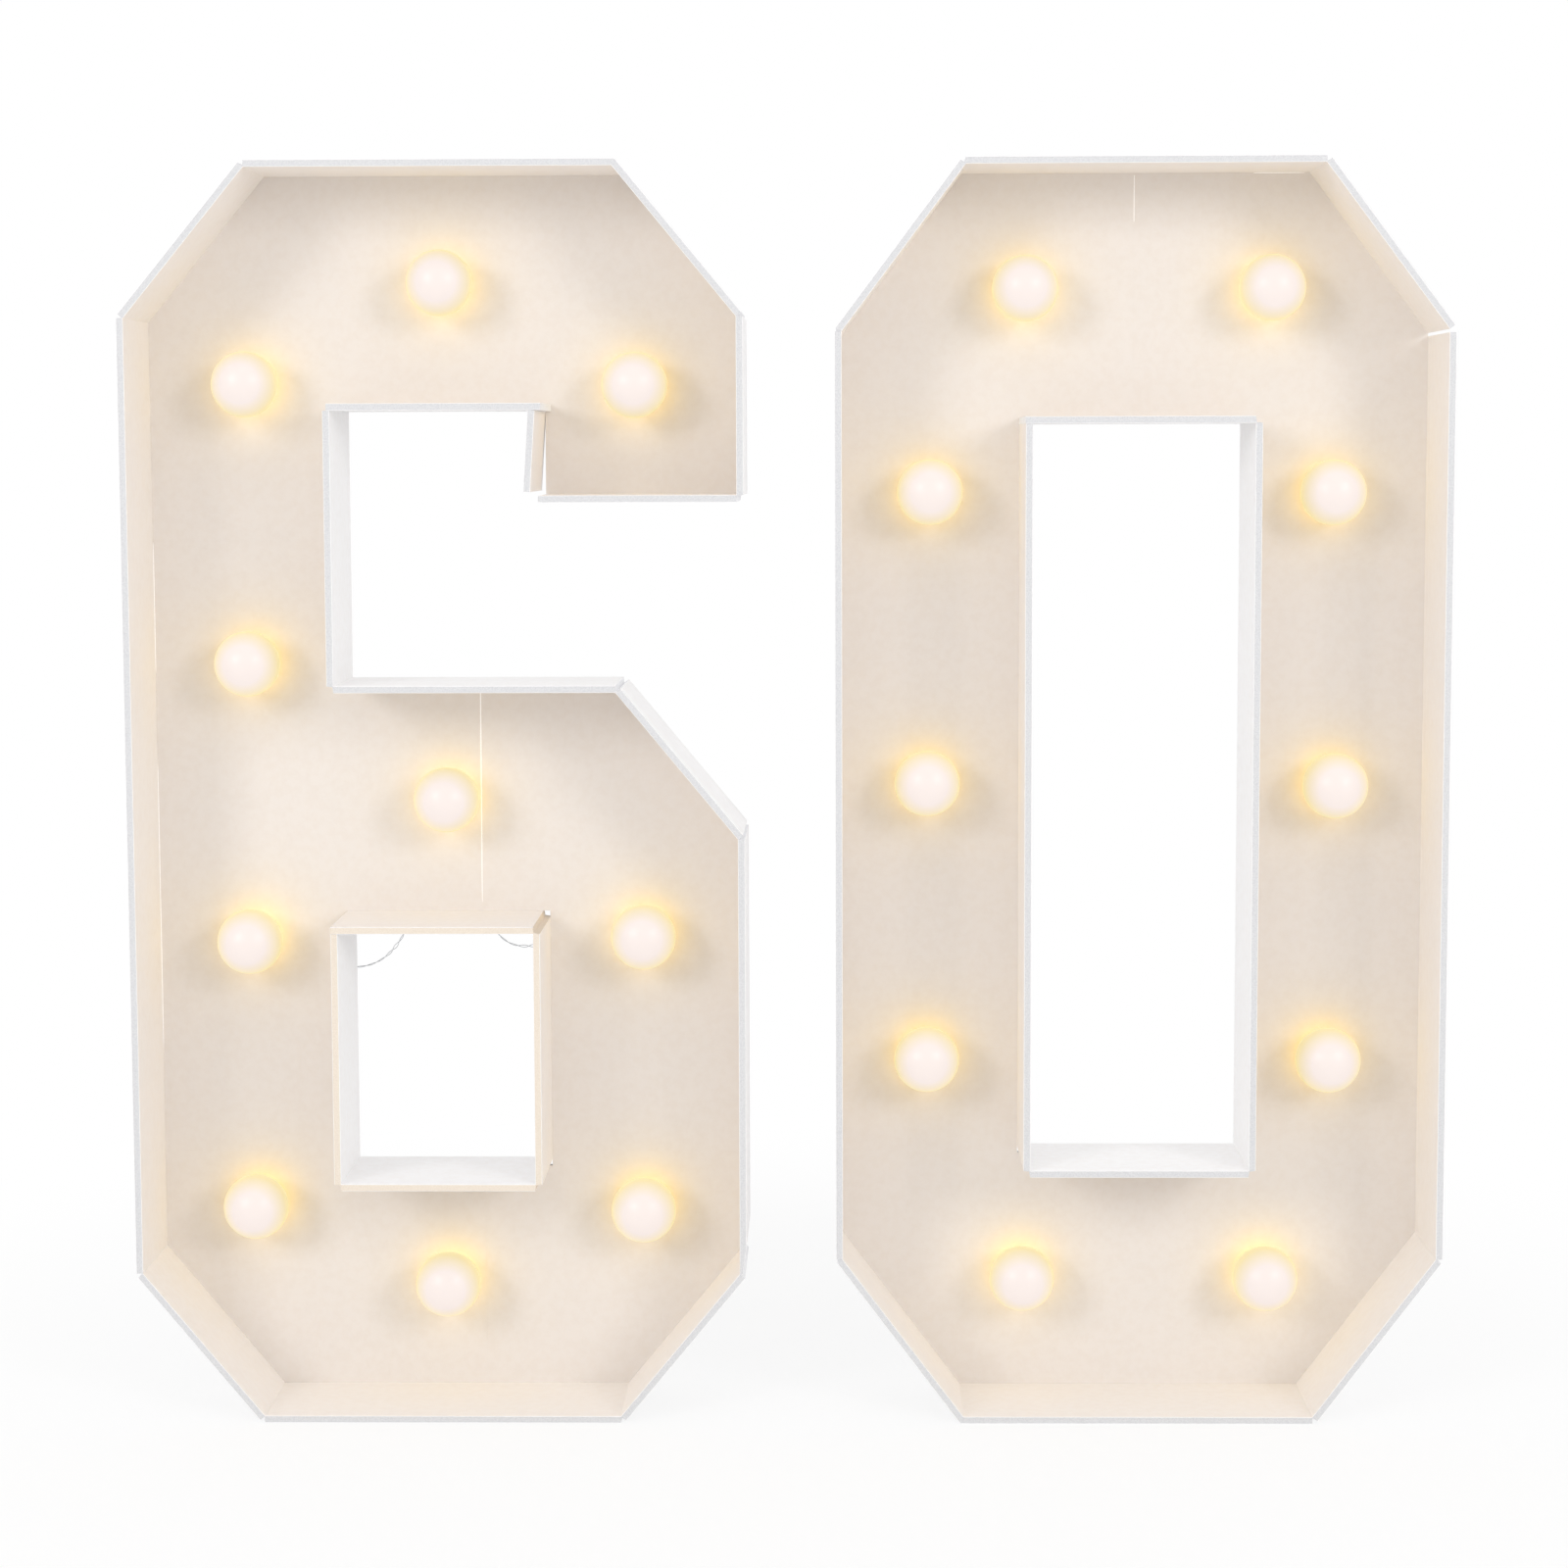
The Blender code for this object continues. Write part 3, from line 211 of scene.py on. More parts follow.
def level_property(name, description, default):
    """A setting for how bright something is."""
    return FloatProperty(name=name, description=description, default=default, min=0.0)


class BoardSettings(bpy.types.PropertyGroup):
    """Sizes and colours of the foam board."""

    paper: colour_property("Paper", "White face paper of the board", "#F6F5F5")
    paper_shade: colour_property("Paper shade", "Slightly darker fibres in the white paper", "#F3F1F0")
    # Painted light: the lining's ivory is the globes' warm glow and the shade inside the tray, painted on
    # board paper that is white
    lining_painted_glow_and_shade: colour_property("Lining", "Ivory face paper inside the tray", "#E3DCD6")
    lining_fibres_painted_glow_and_shade: colour_property("Lining shade", "Slightly darker fibres in the ivory paper", "#E1D9D2")
    # Painted light: the walls' paper inside the tray is tinted warm for the globes' glow and made paler than
    # the lining for the daylight through them
    wall: colour_property("Wall lining", "Ivory paper of the walls, which daylight comes through", "#F1EDEB")
    wall_fibres_painted_glow: colour_property("Wall lining shade", "Slightly darker fibres in the walls' paper", "#EFEAE7")
    # Painted shade: the core's grey and its darker hollows stand for the shade of the foam's cells
    core: colour_property("Core", "Cut foam between the papers", "#D6D6D7")
    core_shade: colour_property("Core shade", "Hollows of the cut foam", "#CCCCCE")
    # The bleed's darker hollows are painted shade of the cells too
    bleed: colour_property("Bleed", "Cut foam of the six's window edge, which the globes tint", "#E4D9CB")
    bleed_shade: colour_property("Bleed shade", "Hollows of the foam that the globes tint", "#DFD3C4")
    # Painted light: the foam of folds and ends glows by emission, standing in for daylight through thin foam
    scatter: level_property("Scatter", "How brightly daylight comes through the foam of folds and ends", 0.32)
    rounding: length_property("Edge rounding", "How far the knife rounds the paper over the cut", 0.00035)
    sink: length_property("Core sink", "How far the cut foam lies behind the paper's edge", 0.00012)
    joint_reach: length_property("Joint reach", "How far a panel's rim moves on to a strip", 0.00029)
    seam_reach: length_property("Seam reach", "How far the sides of a butted seam move in", 0.00024)
    # A lit joint is a bead whose glow is painted light
    lit_joint: length_property("Lit joint", "Half the width of a joint that light comes through", 0.00028)
    lit: colour_property("Lit foam", "Foam at an open joint, with daylight behind it", "#F6EDE4")


class GlobeSettings(bpy.types.PropertyGroup):
    """Sizes and colours of the lit globes."""

    radius: length_property("Radius", "Outer radius of a globe", 0.024)
    neck: length_property("Neck", "Radius where the neck leaves the globe", 0.0125)
    milk: colour_property("Plastic", "Milky plastic of the globe", "#A0948A")
    front_glow: colour_property("Front glow", "Light through the front of the globe", "#E7E0E1")
    rim_glow: colour_property("Rim glow", "Light through the sides of the globe", "#E9DA92")
    back_glow: colour_property("Back glow", "Light that the globe's back throws on the panel", "#FFD800")
    neck_glow: colour_property("Neck glow", "Light of the lamp through the globe's neck", "#FFD23C")
    strength: level_property("Strength", "How strongly the globes glow", 0.70)
    segments: IntProperty(name="Segments", description="Steps round a globe", default=48, min=8, max=128)
    rings: IntProperty(name="Rings", description="Steps from front to neck", default=28, min=6, max=96)


class LightStringSettings(bpy.types.PropertyGroup):
    """Sizes and colours of the lamp holders and the leads that join them."""

    strand_radius: length_property("Strand", "Radius of one strand of the lead", 0.00026)
    twist_radius: length_property("Twist radius", "How far a strand lies from the lead's own line", 0.00036)
    twist_pitch: length_property("Twist pitch", "Length of one turn of the twisted pair", 0.016)
    parting: length_property("Parting", "How far the strands part where the twist is loose", 0.0007)
    strand: colour_property("Strand colour", "Enamelled silver-coloured wire", "#C9CBCE")
    holder: colour_property("Holder", "Moulded plastic of the lamp holders", "#EDECE9")
    holder_radius: length_property("Holder radius", "Outer radius of a lamp holder", 0.012)
    holder_length: length_property("Holder length", "From a holder's rim to its closed end", 0.0137)
    holder_back: length_property("Holder end", "Thickness of a holder's end, where the lead enters", 0.006)
    rib_depth: length_property("Flute depth", "Depth of the grip flutes round a holder", 0.0005)
    rib_count: IntProperty(name="Flutes", description="Grip flutes round a holder", default=20, min=0, max=60)


class BatteryBoxSettings(bpy.types.PropertyGroup):
    """Colours of the battery boxes."""

    case: colour_property("Case", "Moulded plastic of the battery box", "#E8E8E6")
    knob: colour_property("Knob", "Moulded plastic of the switch knob", "#26262A")
    jacket: colour_property("Jacket", "Printed sleeve of a cell", "#3A4450")
    band: colour_property("Band", "Pale band near a cell's plus end", "#C8CDD2")
    steel: colour_property("Steel", "Nickel-plated steel of the contacts and cell ends", "#C6C7C9")


class StudioSettings(bpy.types.PropertyGroup):
    """Lights and floor of the studio."""

    key_power: level_property("Softbox power", "Power of each side softbox in watts", 45.0)
    key_width: length_property("Softbox width", "Width of each side softbox", 1.2)
    key_height: length_property("Softbox height", "Height of each side softbox", 1.5)
    top_power: level_property("Top power", "Power of the overhead softbox in watts", 9.5)
    top_size: length_property("Top size", "Side of the square overhead softbox", 2.2)
    sky_level: level_property("Sky level", "Strength of the white surroundings", 0.81)
    floor_size: length_property("Floor size", "Side of the square floor", 60.0)
    floor: colour_property("Floor", "Matt pale floor", "#F4F4F4")


def set_inputs(made, inputs):
    """Gives the inputs of a node their values, or links them where a value is another node's socket."""
    for key, value in inputs.items():
        if isinstance(value, bpy.types.NodeSocket):
            made.id_data.links.new(value, made.inputs[key])
        else:
            made.inputs[key].default_value = value


def add_node(tree, kind, inputs=None, stops=None, **settings):
    """Adds a shader node with its settings, the values or links of its inputs and the stops of its ramp."""
    made = tree.nodes.new("ShaderNode" + kind)
    for name, value in settings.items():
        setattr(made, name, value)
    set_inputs(made, inputs or {})
    if stops:
        elements = made.color_ramp.elements
        while len(elements) < len(stops):
            elements.new(1.0)
        for element, (place, colour) in zip(elements, stops):
            element.position = place
            element.color = (*colour, 1.0)
    return made


def new_material(name, attribute=None):
    """A material, its tree and shader, and what its patterns read: Object coordinates or an attribute."""
    made = bpy.data.materials.new(name)
    made.use_nodes = True
    tree = made.node_tree
    tree.nodes.clear()
    shader = add_node(tree, "BsdfPrincipled")
    add_node(tree, "OutputMaterial", {"Surface": shader.outputs["BSDF"]})
    if attribute:
        read = add_node(tree, "Attribute", attribute_name=attribute, attribute_type="GEOMETRY")
        return made, tree, shader, read.outputs["Fac"]
    return made, tree, shader, add_node(tree, "TexCoord").outputs["Object"]


def darker(colour, share):
    """A colour with each channel made darker by a share."""
    return tuple(channel * share for channel in colour)


def clay_coated_paper(name, light, dark):
    """Clay-coated paper, rolled smooth and laminated to the foam: matt, pale, faintly mottled."""
    made, tree, shader, place = new_material(name)
    blotches = {"Vector": place, "Scale": 1.0 / PAPER_MOTTLE, "Detail": 4.0, "Roughness": 0.6}
    mottle = add_node(tree, "TexNoise", blotches).outputs["Fac"]
    tone = add_node(tree, "ValToRGB", {"Fac": mottle}, [(0.35, dark), (0.60, light)]).outputs["Color"]
    threads = {"Vector": place, "Scale": 1.0 / PAPER_FIBRE, "Detail": 2.0}
    fibre = add_node(tree, "TexNoise", threads).outputs["Fac"]
    bump = add_node(tree, "Bump", {"Height": fibre, "Strength": 0.08, "Distance": 0.00004})
    normal = bump.outputs["Normal"]
    set_inputs(shader, {"Base Color": tone, "Roughness": 0.62, "IOR": 1.5, "Normal": normal})
    return made


def cut_polystyrene(name, light, dark, scatter=0.0):
    """Polystyrene foam, sliced with a knife: open cells a fraction of a millimetre wide, matt and greyer, the
    grey and the darker cell hollows being painted shade.

    Where it is thin, it glows by emission as painted light, standing in for daylight scattering through it,
    so that its folds and ends stay pale.
    """
    made, tree, shader, place = new_material(name)
    cells = add_node(tree, "TexVoronoi", {"Vector": place, "Scale": 1.0 / FOAM_CELL}).outputs["Distance"]
    # Painted shade: darker in the hollows of the cells
    tone = add_node(tree, "ValToRGB", {"Fac": cells}, [(0.25, light), (0.75, dark)]).outputs["Color"]
    bump = add_node(tree, "Bump", {"Height": cells, "Strength": 0.25, "Distance": 0.0001}, invert=True)
    normal = bump.outputs["Normal"]
    set_inputs(shader, {"Base Color": tone, "Roughness": 0.85, "IOR": 1.5, "Normal": normal})
    # Emission as painted light: the glow stands in for daylight scattered through the foam
    set_inputs(shader, {"Emission Color": tone, "Emission Strength": scatter})
    return made


def backlit_seam(settings):
    """Polystyrene foam at an open joint, glowing by emission as painted light for the light from behind that
    scatters in it, so the joint is a pale line.
    """
    made, tree, shader, place = new_material("backlit_open_joint_foam")
    cells = add_node(tree, "TexNoise", {"Vector": place, "Scale": 1.0 / FOAM_CELL, "Detail": 1.0})
    levels = {"Value": cells.outputs["Fac"], "To Min": 0.30, "To Max": 0.55}
    glow = add_node(tree, "MapRange", levels).outputs["Result"]
    set_inputs(shader, {"Base Color": (*settings.core, 1.0), "Roughness": 0.85})
    set_inputs(shader, {"Emission Color": (*settings.lit, 1.0), "Emission Strength": glow})
    return made


def lit_milky_plastic(settings):
    """Blow-moulded milky polypropylene with a lamp in its neck: satin, white in front, amber behind."""
    made, tree, shader, lit = new_material("lit_milky_polypropylene", attribute="from_front")
    stops = [
        (0.0, settings.front_glow),
        (FRONT_GLOW_END, settings.front_glow),
        (RIM_GLOW_START, settings.rim_glow),
        (RIM_GLOW_END, settings.rim_glow),
        (BACK_GLOW_START, settings.back_glow),
        (BACK_GLOW_END, settings.back_glow),
        (NECK_GLOW_START, settings.neck_glow),
    ]
    glow = add_node(tree, "ValToRGB", {"Fac": lit}, stops).outputs["Color"]
    levels = {
        "Value": lit,
        "From Min": RIM_GLOW_END,
        "From Max": BACK_GLOW_END,
        "To Min": settings.strength,
        "To Max": settings.strength * BACK_GLOW_TIMES,
    }
    strength = add_node(tree, "MapRange", levels).outputs["Result"]
    set_inputs(shader, {"Base Color": (*settings.milk, 1.0), "Roughness": 0.38, "IOR": 1.49})
    set_inputs(shader, {"Emission Color": glow, "Emission Strength": strength})
    return made


def moulded_plastic(name, colour, roughness, grain):
    """Moulded ABS from a spark-eroded tool: a fine satin grain that breaks up its highlights."""
    made, tree, shader, place = new_material(name)
    bumps = {"Vector": place, "Scale": 1.0 / grain, "Detail": 3.0}
    height = add_node(tree, "TexNoise", bumps).outputs["Fac"]
    # Painted shade: the grain is darker where it is low, in its hollows
    stops = [(0.35, darker(colour, GRAIN_SHADE)), (0.65, colour)]
    tone = add_node(tree, "ValToRGB", {"Fac": height}, stops).outputs["Color"]
    bump = add_node(tree, "Bump", {"Height": height, "Strength": 0.2, "Distance": 0.00005})
    normal = bump.outputs["Normal"]
    set_inputs(shader, {"Base Color": tone, "Roughness": roughness, "IOR": 1.53, "Normal": normal})
    return made


def enamelled_wire(settings):
    """Silver-coloured copper wire under clear enamel: bright and thin, with a soft gleam along it."""
    made, tree, shader, place = new_material("enamelled_wire")
    marks = {"Vector": place, "Scale": WIRE_MARKS_PER_METRE, "Detail": 1.0}
    noise = add_node(tree, "TexNoise", marks).outputs["Fac"]
    stops = [(0.3, darker(settings.strand, WIRE_SHADE)), (0.7, settings.strand)]
    tone = add_node(tree, "ValToRGB", {"Fac": noise}, stops).outputs["Color"]
    set_inputs(shader, {"Base Color": tone, "Metallic": 0.6, "Roughness": 0.32, "Coat Weight": 0.5})
    return made


def nickel_plated_steel(settings):
    """Spring steel, rolled and nickel plated: bright, with fine drawn lines along the strip."""
    made, tree, shader, place = new_material("nickel_plated_steel")
    drawn = add_node(tree, "Mapping", {"Vector": place, "Scale": STEEL_LINES_PER_METRE})
    noise = add_node(tree, "TexNoise", {"Vector": drawn.outputs["Vector"], "Scale": 1.0})
    levels = {"Value": noise.outputs["Fac"], "To Min": 0.22, "To Max": 0.36}
    rough = add_node(tree, "MapRange", levels).outputs["Result"]
    set_inputs(shader, {"Base Color": (*settings.steel, 1.0), "Metallic": 1.0, "Roughness": rough})
    return made


def cell_sleeve(settings, low, high, turned_over):
    """Shrink sleeve printed on film over a steel can: satin dark jacket, pale band, bare steel ends."""
    made, tree, shader, place = new_material("cell_sleeve_down" if turned_over else "cell_sleeve_up")
    height = add_node(tree, "SeparateXYZ", {"Vector": place}).outputs["Z"]
    minus, plus = (high, low) if turned_over else (low, high)
    span = {"Value": height, "From Min": minus, "From Max": plus}
    share = add_node(tree, "MapRange", span).outputs["Result"]
    colours = [settings.steel, settings.jacket, settings.band, settings.steel]
    stops = list(zip((0.0, SLEEVE_START, BAND_START, CAP_START), colours))
    bands = add_node(tree, "ValToRGB", {"Fac": share}, stops)
    stops = [(0.0, WHITE), (SLEEVE_START, BLACK), (CAP_START, WHITE)]
    metal = add_node(tree, "ValToRGB", {"Fac": share}, stops)
    for ramp in (bands, metal):
        ramp.color_ramp.interpolation = "CONSTANT"
    looks = {"Base Color": bands.outputs["Color"], "Metallic": metal.outputs["Color"], "Roughness": 0.34}
    set_inputs(shader, looks)
    return made


def seen_by(tree, *kinds):
    """A socket that is 1 for a ray of any of these kinds, such as "Is Camera Ray", and 0 for the rest."""
    rays = add_node(tree, "LightPath").outputs
    seen = rays[kinds[0]]
    for kind in kinds[1:]:
        seen = add_node(tree, "Math", {0: seen, 1: rays[kind]}, operation="MAXIMUM").outputs["Value"]
    return seen


def studio_floor_paint(settings):
    """Matt painted studio floor. To the camera it is mostly plain white, and a share keeps the shadow."""
    made, tree, shader, place = new_material("matt_studio_floor")
    noise = add_node(tree, "TexNoise", {"Vector": place, "Scale": FLOOR_MOTTLES_PER_METRE})
    stops = [(0.0, darker(settings.floor, FLOOR_MOTTLE_SHADE)), (1.0, settings.floor)]
    tone = add_node(tree, "ValToRGB", {"Fac": noise.outputs["Fac"]}, stops)
    set_inputs(shader, {"Base Color": tone.outputs["Color"], "Roughness": 0.9})
    seen = seen_by(tree, "Is Camera Ray", "Is Glossy Ray")
    levels = {
        "Value": add_node(tree, "VectorMath", {0: place}, operation="LENGTH").outputs["Value"],
        "From Min": FLOOR_SHADE_NEAR,
        "From Max": FLOOR_SHADE_FAR,
        "To Min": 1.0 - FLOOR_SHADE_SHARE,
        "To Max": 1.0,
    }
    plain = add_node(tree, "MapRange", levels, interpolation_type="SMOOTHSTEP").outputs["Result"]
    kept = add_node(tree, "Math", {0: seen, 1: plain}, operation="MULTIPLY").outputs["Value"]
    white = add_node(tree, "Emission", {"Color": (*WHITE, 1.0), "Strength": 1.0}).outputs["Emission"]
    mixed = add_node(tree, "MixShader", {0: kept, 1: shader.outputs["BSDF"], 2: white})
    set_inputs(tree.get_output_node("ALL"), {"Surface": mixed.outputs["Shader"]})
    return made


def grid_faces(rows, columns, close_rows=False, close_columns=False):
    """Quads that join each point of a grid to its next row and its next column."""
    row, column = np.meshgrid(
        np.arange(rows if close_rows else rows - 1),
        np.arange(columns if close_columns else columns - 1),
        indexing="ij",
    )
    above, below = row * columns, (row + 1) % rows * columns
    beside = (column + 1) % columns
    corners = [above + column, above + beside, below + beside, below + column]
    return np.stack(corners, axis=-1).reshape(-1, 4)


def joined(parts):
    """Several (points, faces) pairs as one, with the faces' numbers moved on."""
    points, faces, start = [], [], 0
    for part_points, part_faces in parts:
        points.append(part_points)
        faces.extend([[start + number for number in face] for face in part_faces])
        start += len(part_points)
    return np.concatenate(points), faces


def add_piece(name, surface, finishes, replaced=(), smooth=False, numbers=None, lit=None):
    """Links a closed surface (points, faces) that rides on the root and stands for the named CAD nodes."""
    points, faces = surface
    mesh = bpy.data.meshes.new(name)
    mesh.from_pydata(np.asarray(points).tolist(), [], [list(face) for face in faces])
    if numbers is not None:
        mesh.polygons.foreach_set("material_index", np.asarray(numbers, dtype=np.int32))
    if lit is not None:
        glow = mesh.attributes.new("from_front", "FLOAT", "POINT")
        glow.data.foreach_set("value", np.asarray(lit, dtype=np.float32))
    solid = bmesh.new()
    solid.from_mesh(mesh)
    bmesh.ops.remove_doubles(solid, verts=solid.verts, dist=SAME_POINT)
    bmesh.ops.recalc_face_normals(solid, faces=solid.faces)
    solid.to_mesh(mesh)
    solid.free()
    for finish in finishes:
        mesh.materials.append(finish)
    if smooth:
        mesh.shade_smooth()
    made = bpy.data.objects.new(name, mesh)
    bpy.context.scene.collection.objects.link(made)
    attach(made, "root")
    if replaced:
        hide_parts(*replaced)


def turned(radius, along, segments, centre):
    """A surface round an axis along Y: (r cos a, y, r sin a) at each y and angle a; r may vary with a."""
    angle = np.linspace(0.0, math.tau, segments, endpoint=False)
    radius = np.broadcast_to(radius, (len(along), segments))
    along = np.broadcast_to(along[:, None], radius.shape)
    points = np.stack([radius * np.cos(angle), along, radius * np.sin(angle)], axis=-1) + centre
    return points.reshape(-1, 3), grid_faces(*radius.shape, close_columns=True)


def tube(line, radius, sides):
    """A round tube: at each point of the line, a circle of its radius in the plane square to the line."""
    ahead = np.gradient(line, axis=0)
    ahead /= np.linalg.norm(ahead, axis=1, keepdims=True)
    across = np.cross(ahead, (0.0, 1.0, 0.0))
    across /= np.linalg.norm(across, axis=1, keepdims=True)
    upright = np.cross(across, ahead)
    angle = np.linspace(0.0, math.tau, sides, endpoint=False)[None, :, None]
    ring = across[:, None] * np.cos(angle) + upright[:, None] * np.sin(angle)
    radius = np.broadcast_to(np.asarray(radius, dtype=float), (len(line),))
    points = line[:, None] + radius[:, None, None] * ring
    faces = grid_faces(len(line), sides, close_columns=True).tolist()
    last = (len(line) - 1) * sides
    return points.reshape(-1, 3), faces + [list(range(sides)), list(range(last, last + sides))]


def merged_mesh(node):
    """A merged copy of a CAD node's loose triangles, as (points, triangles)."""
    mesh = NODES[node].data
    raw = np.empty(len(mesh.vertices) * 3, dtype=np.float32)
    mesh.vertices.foreach_get("co", raw)
    corners = np.empty(len(mesh.loops), dtype=np.int32)
    mesh.loops.foreach_get("vertex_index", corners)
    points, number = np.unique(raw.reshape(-1, 3).round(6), axis=0, return_inverse=True)
    return points.astype(float), number.reshape(-1)[corners].reshape(-1, 3)


def front_face(node):
    """The points (x, z) of a CAD node, and the triangles of its front face."""
    points, triangles = merged_mesh(node)
    flat = (points[triangles][:, :, 1] < points[:, 1].min() + SAME_PLANE).all(axis=1)
    return points[:, [0, 2]], triangles[flat]


def rim_edges(triangles):
    """The edges (from, to) that belong to one triangle only, in the direction of that triangle."""
    edges = np.stack([triangles, np.roll(triangles, -1, axis=1)], axis=-1).reshape(-1, 2)
    size = triangles.max() + 1
    return edges[~np.isin(edges @ (size, 1), edges @ (1, size))]


def front_outline(node):
    """The closed outline (x, z) of a CAD node's front face: the walk that doubles until it is all round."""
    points, triangles = front_face(node)
    edges = rim_edges(triangles)
    jump = np.arange(len(points))
    jump[edges[:, 0]] = edges[:, 1]
    walk = edges[:, 0].min(keepdims=True)
    while len(walk) < len(edges):
        walk = np.concatenate([walk, jump[walk]])
        jump = jump[jump]
    return points[walk[: len(edges)]]


def panel_triangles(node):
    """The front triangles (x, z) of the other back panels of a node's digit, together."""
    start = node.split("_")[0] + "_panel_"
    faces = [front_face(name) for name in NODES if name.startswith(start) and name != node]
    return np.concatenate([points[triangles] for points, triangles in faces])


def in_triangles(points, triangles):
    """Which points lie in a triangle: those on the same side of its three edges."""
    start = triangles[None]
    edge = np.roll(triangles, -1, axis=1)[None] - start
    away = points[:, None, None] - start
    side = edge[..., 0] * away[..., 1] - edge[..., 1] * away[..., 0]
    return ((side >= 0.0).all(axis=2) | (side <= 0.0).all(axis=2)).any(axis=1)


def fold_groups(chain):
    """One side of a strip's end view, split between its long runs into the points of each fold."""
    steps = np.linalg.norm(np.diff(chain, axis=0), axis=1)
    return np.split(chain, np.flatnonzero(steps > FOLD_SPAN) + 1)


def with_feet(groups, others):
    """Adds the foot, on this side, of a point that only the other side has, such as where a dent starts."""
    if len(groups) >= len(others):
        return groups
    start, end = groups[-2][-1], groups[-1][0]
    way = (end - start) / np.linalg.norm(end - start)
    foot = start + way * np.dot(others[-2][0] - start, way)
    return groups[:-1] + [foot[None]] + groups[-1:]


def strip_stations(node):
    """Pairs of opposite points along a strip's end view, as two arrays of (x, z), one for each face."""
    loop = front_outline(node)
    ahead = np.roll(loop, -1, axis=0) - loop
    length = np.linalg.norm(ahead, axis=1)
    way = ahead / length[:, None]
    before = np.roll(way, 1, axis=0)
    turn = before[:, 0] * way[:, 1] - before[:, 1] * way[:, 0]
    twice_area = np.sum(loop[:, 0] * np.roll(loop[:, 1], -1) - np.roll(loop[:, 0], -1) * loop[:, 1])
    square = turn * np.sign(twice_area) > SQUARE_ENOUGH
    caps = np.flatnonzero(square & np.roll(square, -1) & (length < CAP_LONGEST))
    if len(caps) != 2:
        raise RuntimeError(f"{node} has {len(caps)} square ends, and a strip has two")
    count = len(loop)
    first = loop[np.arange(caps[0] + 1, caps[1] + 1)]
    second = loop[np.arange(caps[1] + 1, caps[0] + count + 1) % count][::-1]
    one, two = fold_groups(first), fold_groups(second)
    one, two = with_feet(one, two), with_feet(two, one)
    sides = ([], [])
    for group, other in zip(one, two):
        size = max(len(group), len(other))
        sides[0].append(np.repeat(group, size, axis=0) if len(group) == 1 else group)
        sides[1].append(np.repeat(other, size, axis=0) if len(other) == 1 else other)
    return np.concatenate(sides[0]), np.concatenate(sides[1])


def board_section(thickness, front, back, settings):
    """Points round a strip's section, as (share of the way across, place along Y), and each edge's finish."""
    edge = settings.rounding
    bite = edge * (1.0 - math.sqrt(0.5))
    step = edge + settings.sink
    corner = np.array([(0.0, edge), (bite, bite), (edge, 0.0), (step, settings.sink)])
    half = np.concatenate([corner, (thickness, 0.0) + corner[::-1] * (-1.0, 1.0)])
    cut = np.full(len(half), WHITE_PAPER)
    cut[2:5] = CUT_FOAM
    across = np.concatenate([half[:, 0], half[::-1, 0]]) / thickness
    along = np.concatenate([front + half[:, 1], back - half[::-1, 1]])
    return across, along, np.concatenate([cut, cut])


def tray_side(node, one, two):
    """Which face of a strip looks into the tray, 0 or 1: the one beside which the back panels lie."""
    panels = panel_triangles(node)
    across = (two - one) / np.linalg.norm(two - one, axis=1, keepdims=True)
    out = (across[1:] + across[:-1]) / 2.0 * LOOK_ASIDE
    beside_one = in_triangles((one[1:] + one[:-1]) / 2.0 - out, panels).sum()
    beside_two = in_triangles((two[1:] + two[:-1]) / 2.0 + out, panels).sum()
    return 0 if beside_one > beside_two else 1


def lengthened(one, two, reach):
    """Both sides of a strip with their ends moved on, square to the cut end, so that butted ends meet."""
    one, two = one.copy(), two.copy()
    for end, other in ((0, -1), (-1, 0)):
        cut = two[end] - one[end]
        square = np.array((cut[1], -cut[0])) / np.linalg.norm(cut)
        away = one[end] - one[1 if end == 0 else -2]
        if not away.any():
            away = one[end] - one[other]
        step = square * math.copysign(reach, float(np.dot(square, away)))
        one[end] += step
        two[end] += step
    return one, two


def strip_surface(node, settings):
    """A board section carried along a strip's folds: one + share (two - one) at each station and depth."""
    one, two = lengthened(*strip_stations(node), settings.seam_reach)
    low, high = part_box(node)
    thickness = min(np.linalg.norm(two[0] - one[0]), np.linalg.norm(two[-1] - one[-1]))
    thickness = max(thickness, float(np.median(np.linalg.norm(two - one, axis=1))))
    across, along, cut = board_section(thickness, low.y, high.y, settings)
    flat = one[:, None] + across[None, :, None] * (two - one)[:, None]
    rows, columns = flat.shape[:2]
    points = np.stack([flat[..., 0], np.broadcast_to(along, (rows, columns)), flat[..., 1]], axis=-1)
    faces = grid_faces(rows, columns, close_columns=True).tolist()
    numbers = np.tile(cut, (rows - 1, 1))
    face_columns = (columns - 1, columns // 2 - 1)
    # The face that looks into the tray takes the wall paper with painted glow
    numbers[:, face_columns[tray_side(node, one, two)]] = WALL_PAPER_PAINTED_GLOW
    for side, column in zip((one, two), face_columns):
        short = np.linalg.norm(np.diff(side, axis=0), axis=1) < FOLD_SPAN
        # Folds take the foam that glows as painted light
        numbers[short, column] = BACKLIT_FOAM
    caps_number = BACKLIT_FOAM
    if node in WARM_EDGES:
        front = (along + np.roll(along, -1)) / 2.0 < (low.y + high.y) / 2.0
        numbers[((numbers == CUT_FOAM) & front) | (numbers == BACKLIT_FOAM)] = GLOBE_LIT_FOAM
        caps_number = GLOBE_LIT_FOAM
    caps = [list(range(columns)), list(range((rows - 1) * columns, rows * columns))]
    return points.reshape(-1, 3), faces + caps, np.append(numbers.reshape(-1), [caps_number] * 2)


